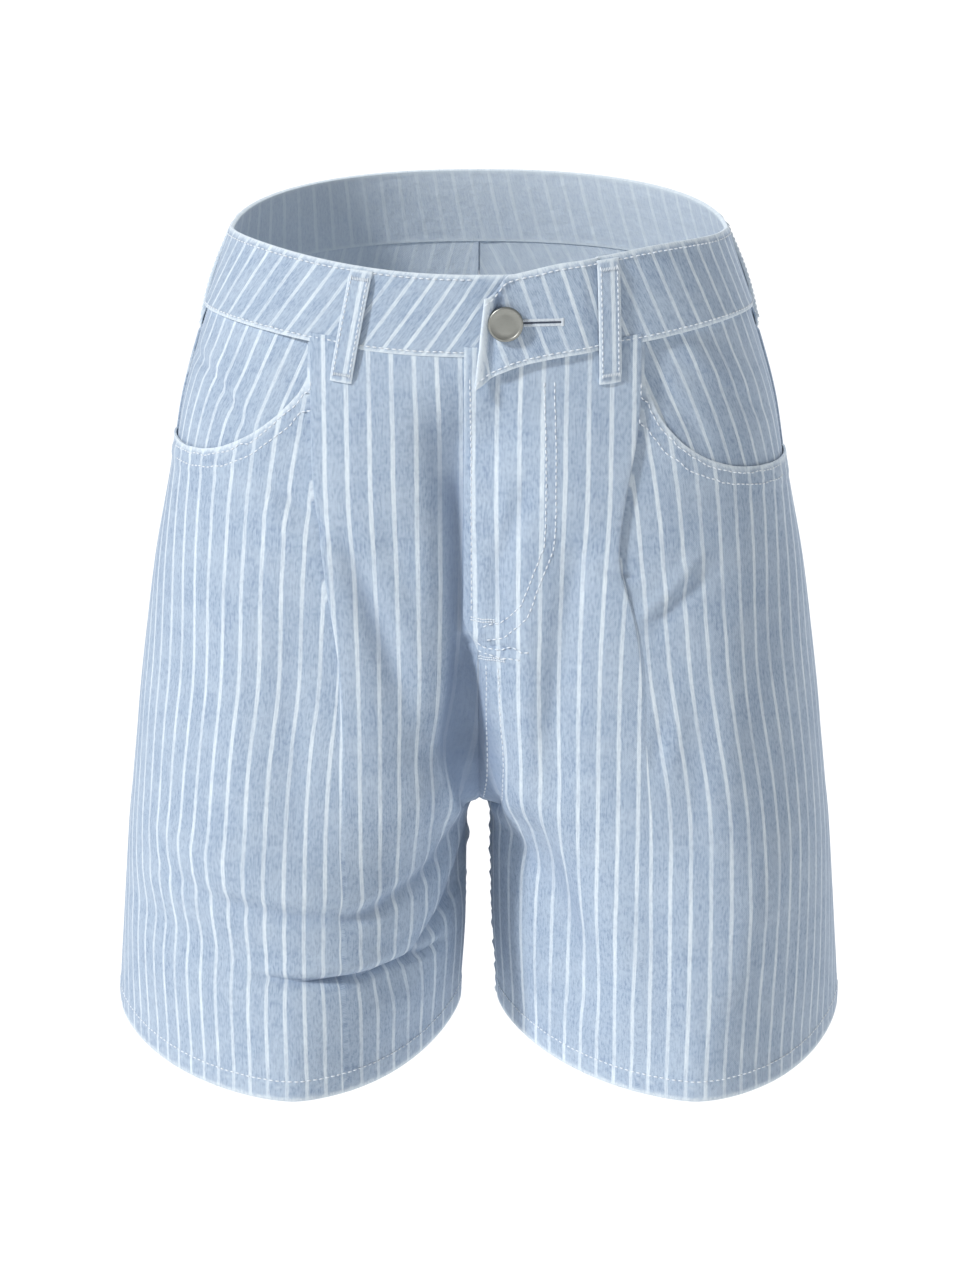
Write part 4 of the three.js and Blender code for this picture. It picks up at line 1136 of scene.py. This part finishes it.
def denim_group():
    """Weave of the striped denim, read from its UV map in stripes: colour, height and roughness."""
    tree = bpy.data.node_groups.new("striped_weave", "ShaderNodeTree")
    for way, kind, names in (
        ("INPUT", "Vector", ["Pattern"]),
        ("INPUT", "Float", ["Wear and shade"]),
        ("INPUT", "Color", ["Ground", "Dark yarn", "Stripe"]),
        ("OUTPUT", "Color", ["Color"]),
        ("OUTPUT", "Float", ["Height", "Roughness"]),
    ):
        for name in names:
            tree.interface.new_socket(name, in_out=way, socket_type="NodeSocket" + kind)
    n = Nodes(tree)
    given = n.add("NodeGroupInput").outputs
    pattern, wear_and_shade, ground, dark_yarn, pale = (given[k] for k in range(5))
    across, down, _ = n.add("ShaderNodeSeparateXYZ", {0: pattern}).outputs

    # Stripes wander a little, have ragged edges and fade one by one
    drift = n.math("MULTIPLY_ADD", n.noise(n.scaled(pattern, (0.6, 0.35, 1)), 1.0, 1.0), 0.06, -0.03)
    slub = n.noise(n.scaled(pattern, (20, 1.1, 1)), 1.0, 2.0)
    ragged = n.math("MULTIPLY_ADD", n.noise(pattern, 16.0, 2.0), 0.05, -0.025)
    u = n.plus(across, n.plus(drift, ragged))
    away = n.math("ABSOLUTE", n.math("SUBTRACT", n.math("FRACT", u), 0.5))
    stripe = n.ramp(away, 0.07, 0.125, 1.0, 0.0)
    each = {0: n.times(n.math("FLOOR", u), 3.7), 1: n.times(down, 0.22)}
    each = n.add("ShaderNodeCombineXYZ", each).outputs[0]
    faded = n.ramp(n.noise(each, 1.0, 2.0), 0.32, 0.62, 0.62, 1.0)

    # Dark and pale yarns of the ground, with mottling at three sizes
    twill = n.math("SINE", n.times(n.plus(across, down), 2 * math.pi * 11))
    weft = n.math("SINE", n.times(down, 2 * math.pi * 15))
    speckle = n.noise(pattern, 34.0, 2.0, 0.7)
    cloud = n.noise(pattern, 0.55, 3.0)
    mottle = n.noise(n.scaled(pattern, (9, 3.6, 1)), 1.0, 3.0, 0.6)
    bands = n.noise(n.scaled(pattern, (1.7, 0.05, 1)), 1.0, 2.0)
    dark = n.math("MULTIPLY_ADD", slub, 1.5, -0.5)
    dark = n.plus(dark, n.math("MULTIPLY_ADD", speckle, 1.5, -0.75))
    dark = n.plus(dark, n.times(twill, 0.16))
    dark = n.plus(dark, n.math("MULTIPLY_ADD", bands, 0.5, -0.25))
    dark = n.plus(dark, n.math("MULTIPLY_ADD", mottle, 2.4, -1.1))
    blue = n.mix(n.ramp(dark, 0.0, 1.0), ground, dark_yarn)
    blue = n.mix(n.ramp(cloud, 0.3, 0.75, 0.0, 0.16), blue, pale)

    # The stripes over the ground, then the wear, and the painted shade of creases and hollows
    white = n.times(stripe, n.ramp(n.plus(slub, n.times(mottle, 0.6)), 0.45, 1.05, 1.0, 0.6))
    colour = n.mix(n.times(white, faded), blue, pale)
    bare = n.times(wear_and_shade, n.math("MULTIPLY_ADD", mottle, 1.8, -0.2))
    colour = n.mix(n.ramp(bare, 0.05, 0.75, 0.0, 0.85), colour, pale)
    # Below zero the channel is painted shade: the colour darkens towards the dark yarn in creases and under
    # the waistband's curled end
    colour = n.mix(n.ramp(n.times(wear_and_shade, -1.0), 0.0, 1.0, 0.0, 0.8), colour, dark_yarn)
    height = n.math("MULTIPLY_ADD", twill, 0.5, n.times(weft, 0.2))
    height = n.plus(n.plus(height, n.times(slub, 0.9)), n.times(stripe, 0.5))
    rough = n.ramp(speckle, 0.2, 0.8, 0.8, 0.95)
    n.add("NodeGroupOutput", {"Color": colour, "Height": height, "Roughness": rough})
    return tree


def new_material(name):
    material = bpy.data.materials.new(name)
    material.use_nodes = True
    material.node_tree.nodes.clear()
    n = Nodes(material.node_tree)
    shader = n.add("ShaderNodeBsdfPrincipled")
    out = n.add("ShaderNodeOutputMaterial")
    material.node_tree.links.new(shader.outputs[0], out.inputs["Surface"])
    return material, n, shader


def denim_material(name, group, ground, dark, stripe, bump=0.25):
    material, n, shader = new_material(name)
    uv = n.add("ShaderNodeUVMap", uv_map="cloth").outputs[0]
    inputs = {
        "Pattern": uv,
        # Attribute of wear, with painted shade below zero
        "Wear and shade": n.add("ShaderNodeAttribute", attribute_name="wear_and_shade").outputs["Fac"],
        "Ground": rgb(ground),
        "Dark yarn": rgb(dark),
        "Stripe": rgb(stripe),
    }
    weave = n.feed(n.add("ShaderNodeGroup", node_tree=group), inputs).outputs
    rumple = n.noise(n.scaled(uv, (0.9, 1.3, 1)), 1.4, 3.0)
    fine = n.bump(bump, 0.00035, weave["Height"])
    n.feed(shader, {
        "Base Color": weave["Color"],
        "Roughness": weave["Roughness"],
        "Normal": n.bump(0.35, 0.0016, rumple, Normal=fine),
        "Specular IOR Level": 0.2,
        "Sheen Weight": 0.12,
        "Sheen Roughness": 0.6,
        "Sheen Tint": (0.75, 0.83, 1.0, 1.0),
    })
    return material


def shaded(colour, share):
    return rgb([c * share for c in colour])


def thread_material(colour, name="sewing_thread"):
    material, n, shader = new_material(name)
    ply = n.noise(n.add("ShaderNodeTexCoord").outputs["Object"], 900.0, 2.0)
    tone = n.mix(ply, rgb(colour), shaded(colour, 0.8))
    n.feed(shader, {"Base Color": tone, "Normal": n.bump(0.3, 0.0001, ply), "Roughness": 0.75})
    return material


def metal_material(colour):
    material, n, shader = new_material("brushed_nickel")
    where = n.add("ShaderNodeTexCoord").outputs["Object"]
    brushed = n.noise(n.scaled(where, (240, 240, 3200)), 1.0, 3.0)
    cloud = n.times(n.noise(where, 260.0, 2.0), 0.5)
    n.feed(shader, {
        "Base Color": n.mix(cloud, rgb(colour), shaded(colour, 0.72)),
        "Roughness": n.ramp(brushed, 0.2, 0.8, 0.34, 0.5),
        "Normal": n.bump(0.15, 0.00005, brushed),
        "Metallic": 1.0,
    })
    return material


def floor_material(colour):
    material, n, shader = new_material("pale_floor")
    cloud = n.noise(n.add("ShaderNodeTexCoord").outputs["Object"], 3.0)
    n.feed(shader, {"Base Color": n.mix(cloud, rgb(colour), shaded(colour, 0.985)), "Roughness": 0.9})
    return material


def colour_property(name, description, default):
    return FloatVectorProperty(name=name, description=description, subtype="COLOR", default=default)


class ShortsLook(bpy.types.PropertyGroup):
    ground: colour_property("Ground blue", "Colour of the blue warp", (0.385, 0.475, 0.59))
    # The dark yarn is also the colour the painted shade darkens towards
    dark: colour_property("Dark yarn", "Darkest yarn of the blue warp", (0.225, 0.295, 0.42))
    stripe: colour_property("Stripe", "Colour of the pale stripes", (0.71, 0.785, 0.84))
    inside: colour_property("Inside", "Ground of the paler inside", (0.50, 0.58, 0.69))
    thread: colour_property("Thread", "Colour of the sewing thread", (0.80, 0.86, 0.92))
    metal: colour_property("Button", "Colour of the button's metal", (0.34, 0.345, 0.32))
    floor: colour_property("Floor", "Colour of the floor", (0.97, 0.97, 0.97))


class ShortsSizes(bpy.types.PropertyGroup):
    cloth: FloatProperty(name="Cloth", description="Thickness of the denim", unit="LENGTH", default=0.0011)
    band: FloatProperty(
        name="Waistband", description="Thickness of the doubled waistband", unit="LENGTH", default=0.0022
    )
    lens: FloatProperty(name="Lens", description="Focal length of the camera in millimetres", default=112.0)


MATERIALS = {}
# Colour of the painted shadow in the buttonhole's gap
SLIT_SHADOW_COLOUR = (0.05, 0.065, 0.10)
SEEN_SHARE = 0.98


def look_materials():
    if MATERIALS:
        return MATERIALS
    look = bpy.context.scene.shorts_look
    group = denim_group()
    pale = [0.5 * a + 0.5 * b for a, b in zip(look.inside, look.stripe)]
    MATERIALS["denim"] = denim_material("striped_denim", group, look.ground, look.dark, look.stripe)
    MATERIALS["inside"] = denim_material("denim_inside", group, pale, look.inside, look.stripe, 0.3)
    MATERIALS["thread"] = thread_material(look.thread)
    MATERIALS["metal"] = metal_material(look.metal)
    MATERIALS["slit"] = thread_material(SLIT_SHADOW_COLOUR, "buttonhole_shadow")
    return MATERIALS


def finish_cloth(name, sheet, wall, replaced, flat):
    looks = look_materials()
    bm = sheet.mesh()
    bm.faces.ensure_lookup_table()
    SEWING.hold(name, bm)
    whole = flat[0] * flat[1]
    area = min(sum(face.calc_area() for face in bm.faces), whole * SEEN_SHARE)
    piece = piece_object(name, bm, [looks["denim"], looks["inside"]])
    thicken(piece, wall)
    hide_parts(replaced)
    return piece


def line_on(part, sign, s, z, high=3.0):
    p = cloth(part, sign, s, z, high)
    return np.stack([p["x"], p["y"], p["z"]], -1)


def sew_hem(part, sign, shares, along):
    z = np.full_like(shares, SIDE_HEM + HEM)
    s = along(shares, z)
    y = cloth(part, sign, s, z)["y"]
    SEWING.line(f"cloth_{part}_{SIDES[sign]}", line_on(part, sign, s, z - hem_dip(y)))


class SHORTS_OT_fronts(bpy.types.Operator):
    """Builds the two pleated fronts and the facings seen in their pocket mouths"""

    bl_idname = "shorts.fronts"
    bl_label = "Fronts"

    def execute(self, context):
        wall = context.scene.shorts_sizes.cloth / MM
        for sign, side in SIDES.items():
            name = f"cloth_front_{side}"
            finish_cloth(name, front_sheet(sign), wall, f"front_{side}", FLATS["front"])
            facing = f"pocket_facing_{side}"
            finish_cloth(f"cloth_facing_{side}", facing_sheet(sign), wall, facing, FLATS["facing"])
            self.sew(sign, name)
        return {"FINISHED"}

    def sew(self, sign, name):
        section = SECTION["front", sign]
        line = MOUTH_LINE[sign]
        step = np.gradient(line, axis=0)
        step /= np.hypot(step[:, 0], step[:, 1])[:, None]
        low = panel_top("front", 0.95) - 1
        for inset in (2.0, 8.0):
            moved = line + inset * np.stack([step[:, 1], -step[:, 0]], 1)
            keep = [(x, z) for x, z in moved if z < low - 4 and x < section.x[int(z - LEVELS[0]), -1] - 3]
            x, z = np.array(keep)[::4].T
            s = section.along_to(x, z)
            use = s > pleat(sign, "along", z) + 1.0
            SEWING.line(name, line_on("front", sign, s[use], z[use], 5.0))
        if sign > 0:
            for path in FLY_STITCHES:
                self.path_line(name, path)
            for path in BAR_TACKS:
                self.path_line(name, path, 1.3, 0.1)
        sew_hem("front", sign, np.linspace(0.02, 0.995, 90), lambda t, z: t * seam_length("front", sign, z))

    def path_line(self, name, path, length=STITCH, gap=0.75):
        x, z = even_points(path)
        s = np.where(x < 0, x, SECTION["front", 1].along_to(np.abs(x), z))
        SEWING.line(name, line_on("front", 1, s, z, 5.0), length=length, gap=gap)


class SHORTS_OT_backs(bpy.types.Operator):
    """Builds the two backs, their yokes and their patch pockets"""

    bl_idname = "shorts.backs"
    bl_label = "Backs"

    def execute(self, context):
        wall = context.scene.shorts_sizes.cloth / MM
        for sign, side in SIDES.items():
            for kind, sheet, node, rests in (
                ("back", back_sheet, "back", ["waistband"]),
                ("yoke", yoke_sheet, "yoke", []),
                ("pocket", patch_sheet, "back_pocket", []),
            ):
                name = f"cloth_{kind}_{side}"
                finish_cloth(name, sheet(sign), wall, f"{node}_{side}", FLATS[kind])
            self.sew(sign, side)
        return {"FINISHED"}

    def sew(self, sign, side):
        shares = np.linspace(0.01, 0.99, 80)
        for up in (1.8, 7.4):
            z = yoke_seam(sign, shares) + up
            SEWING.line(f"cloth_yoke_{side}", line_on("back", sign, back_along(sign, shares, z), z))
        sew_hem("back", sign, shares, lambda t, z: back_along(sign, t, z))
        if sign > 0:
            for away in (1.8, 7.0):
                for name, (top, foot, count) in CENTRE_STITCHES.items():
                    z = np.linspace(top, foot, count)
                    SEWING.line(name, line_on("back", 1, np.full_like(z, away), z))
        corners = [np.array(c, float) for c in PATCHES[side]]
        middle = sum(corners) / len(corners)
        for inset in (1.8, 7.0):
            ring = [c + (middle - c) * (inset * 1.35 / np.hypot(*(middle - c))) for c in corners]
            order = [ring[k] for k in (0, 4, 3, 2, 1)]
            for a, b in zip(order, order[1:]):
                self.pocket_line(sign, side, a, b)
        in_top, out_top = corners[:2]
        for drop in (2.0, 11.0):
            down = np.array([0.5, -drop])
            self.pocket_line(sign, side, in_top + down + (1.5, 0), out_top + down - (1.5, 0))

    def pocket_line(self, sign, side, a, b):
        count = max(6, int(np.hypot(*(b - a)) / 3))
        x, z = (a + (b - a) * np.linspace(0, 1, count)[:, None]).T
        s = SECTION["back", sign].along_to(x, z)
        SEWING.line(f"cloth_pocket_{side}", line_on("back", sign, s, z, 4.5))


class SHORTS_OT_waist(bpy.types.Operator):
    """Builds the waistband, its belt loops and the button"""

    bl_idname = "shorts.waist"
    bl_label = "Waistband"

    def execute(self, context):
        sizes = context.scene.shorts_sizes
        band = band_sheet()
        finish_cloth(
            "cloth_waistband", band, sizes.band / MM, "waistband", FLATS["waistband"]
        )
        for row in (1, 15):
            SEWING.line("cloth_waistband", band.points[row, 12:] + band.normals[row, 12:] * 3, lift=1.3)
        self.buttonhole()
        for name in LOOPS:
            loop = loop_sheet(name)
            finish_cloth(f"cloth_{name}", loop, LOOP_WALL, name, FLATS["loop"])
            self.sew_loop(f"cloth_{name}", loop.points, loop.normals)
        self.button()
        return {"FINISHED"}

    def sew_loop(self, name, points, normals):
        for column in (1, -2):
            line = points[1:-1, column] + normals[1:-1, column] * 2
            SEWING.line(name, line, lift=0.95, length=2.8)
        for row in (2, -3):
            normal = normals[row, 4]
            up = (points[row - 1, 4] - points[row + 1, 4]) * 0.22
            for k in range(11):
                at = points[row, 1] + (points[row, -2] - points[row, 1]) * k / 10 + normal * 1.2
                SEWING.stitch(Vector(at + up), Vector(at - up + (0.3, 0, 0)), Vector(normal), FINE_THREAD)

    def buttonhole(self):
        """The slit beside the button as a thin dark strip of painted shadow, with close stitches along both
        its lips.
        """
        tree = SEWING.trees["cloth_waistband"]

        def on_band(x, z, lift):
            start = Vector((x, -130, z)) * MM
            place, normal, _, _ = tree.ray_cast(start, Vector((0, 1, 0)))
            return place / MM + normal * lift, normal

        xs = np.linspace(HOLE_START, HOLE_END, 15)
        points = np.array([[on_band(x, BUTTON["z"] + dz, 1.14)[0] for x in xs] for dz in (LIP, -LIP)])
        normals = np.broadcast_to(np.array((0.0, -1.0, 0.0)), points.shape)
        bm, _ = sheet_mesh(points, normals, np.zeros(points.shape[:2] + (3,)))
        # A dark strip painted as the shadow in the gap
        piece_object("buttonhole_slit_shadow", bm, [look_materials()["slit"]])

        def stitch(x, z, x_end, z_end):
            a, n = on_band(x, BUTTON["z"] + z, 1.2)
            b, _ = on_band(x_end, BUTTON["z"] + z_end, 1.2)
            SEWING.stitch(a, b, n, FINE_THREAD)

        for lip in (1, -1):
            for x in np.arange(HOLE_START, HOLE_END + 0.5, 0.62):
                stitch(x, lip * LIP, x, lip * 2.0)
        for dz in np.arange(-1.8, 1.9, 0.6):
            stitch(HOLE_END, dz, HOLE_END + 1.6, dz)

    def button(self):
        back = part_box("button")[1][1] / MM
        radius, thick, lift = BUTTON["radius"], BUTTON["thick"], BUTTON["lift"]
        profile = (
            (0.0, 0.3), (2.2, 0.3), (2.2, lift), (radius - 0.8, lift), (radius - 0.2, lift + 0.3),
            (radius, lift + 0.9), (radius - 0.05, lift + thick - 0.55), (radius - 0.5, lift + thick - 0.1),
            (radius - 1.0, lift + thick), (radius - 1.4, lift + thick - 0.2),
            (radius - 1.7, lift + thick - 0.45), (radius - 4, lift + thick - 0.2), (0.0, lift + thick - 0.1),
        )
        bm = bmesh.new()
        places = [Vector((BUTTON["x"] + r, back + 0.3 - h, BUTTON["z"])) * MM for r, h in profile]
        verts = [bm.verts.new(place) for place in places]
        edges = [bm.edges.new(pair) for pair in zip(verts, verts[1:])]
        centre = Vector((BUTTON["x"], back, BUTTON["z"])) * MM
        turn = {"axis": (0, 1, 0), "angle": 2 * math.pi, "steps": 72, "use_merge": True}
        bmesh.ops.spin(bm, geom=verts + edges, cent=centre, **turn)
        bmesh.ops.remove_doubles(bm, verts=bm.verts, dist=1e-6)
        bmesh.ops.recalc_face_normals(bm, faces=bm.faces)
        piece = piece_object("metal_button", bm, [look_materials()["metal"]])
        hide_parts("button")


class SHORTS_OT_sewing(bpy.types.Operator):
    """Lays the lines of stitches on the finished cloth"""

    bl_idname = "shorts.sewing"
    bl_label = "Stitches"

    def execute(self, context):
        SEWING.make("stitches", look_materials()["thread"])
        return {"FINISHED"}


class SHORTS_OT_stage(bpy.types.Operator):
    """Sets the floor, the soft lights and the camera"""

    bl_idname = "shorts.stage"
    bl_label = "Stage"

    def execute(self, context):
        scene = context.scene
        bm = bmesh.new()
        bmesh.ops.create_grid(bm, x_segments=1, y_segments=1, size=FLOOR["half"])
        bmesh.ops.translate(bm, verts=bm.verts, vec=(0, 0, FLOOR["height"]))
        mesh = bpy.data.meshes.new("floor")
        bm.to_mesh(mesh)
        bm.free()
        mesh.materials.append(floor_material(scene.shorts_look.floor))
        floor = bpy.data.objects.new("floor", mesh)
        scene.collection.objects.link(floor)
        world = bpy.data.worlds.new("pale_world")
        world.use_nodes = True
        background = world.node_tree.nodes["Background"].inputs
        background["Color"].default_value, background["Strength"].default_value = SKY
        scene.world = world
        scene.view_settings.view_transform = "Standard"
        for name, (direction, strength, angle) in LIGHTS.items():
            light = bpy.data.lights.new(name, "SUN")
            light.energy = strength
            light.angle = math.radians(angle)
            lamp = bpy.data.objects.new(name, light)
            lamp.location = direction
            lamp.rotation_euler = (-Vector(direction)).to_track_quat("-Z", "Y").to_euler()
            scene.collection.objects.link(lamp)
        camera = bpy.data.cameras.new("camera")
        camera.lens = scene.shorts_sizes.lens
        camera.sensor_width = 36
        camera.sensor_fit = "HORIZONTAL"
        eye = bpy.data.objects.new("camera", camera)
        eye.location = CAMERA["place"]
        eye.rotation_euler = (Vector(CAMERA["towards"]) - eye.location).to_track_quat("-Z", "Y").to_euler()
        scene.collection.objects.link(eye)
        scene.camera = eye
        return {"FINISHED"}


class SHORTS_PT_panel(bpy.types.Panel):
    """Sizes, colours and steps of the shorts"""

    bl_label = "Bermuda Shorts"
    bl_idname = "SHORTS_PT_panel"
    bl_space_type = "VIEW_3D"
    bl_region_type = "UI"
    bl_category = "Shorts"

    def draw(self, context):
        for group in (context.scene.shorts_look, context.scene.shorts_sizes):
            for name in group.__annotations__:
                self.layout.prop(group, name)
        for step in STEPS:
            self.layout.operator(step.bl_idname)


STEPS = (SHORTS_OT_stage, SHORTS_OT_fronts, SHORTS_OT_backs, SHORTS_OT_waist, SHORTS_OT_sewing)
CLASSES = (ShortsLook, ShortsSizes, *STEPS, SHORTS_PT_panel)


def register():
    for item in CLASSES:
        bpy.utils.register_class(item)
    bpy.types.Scene.shorts_look = PointerProperty(type=ShortsLook)
    bpy.types.Scene.shorts_sizes = PointerProperty(type=ShortsSizes)


def unregister():
    del bpy.types.Scene.shorts_sizes
    del bpy.types.Scene.shorts_look
    for item in reversed(CLASSES):
        bpy.utils.unregister_class(item)


def main():
    register()
    for step in STEPS:
        group, name = step.bl_idname.split(".")
        getattr(getattr(bpy.ops, group), name)()


if __name__ == "__main__":
    main()
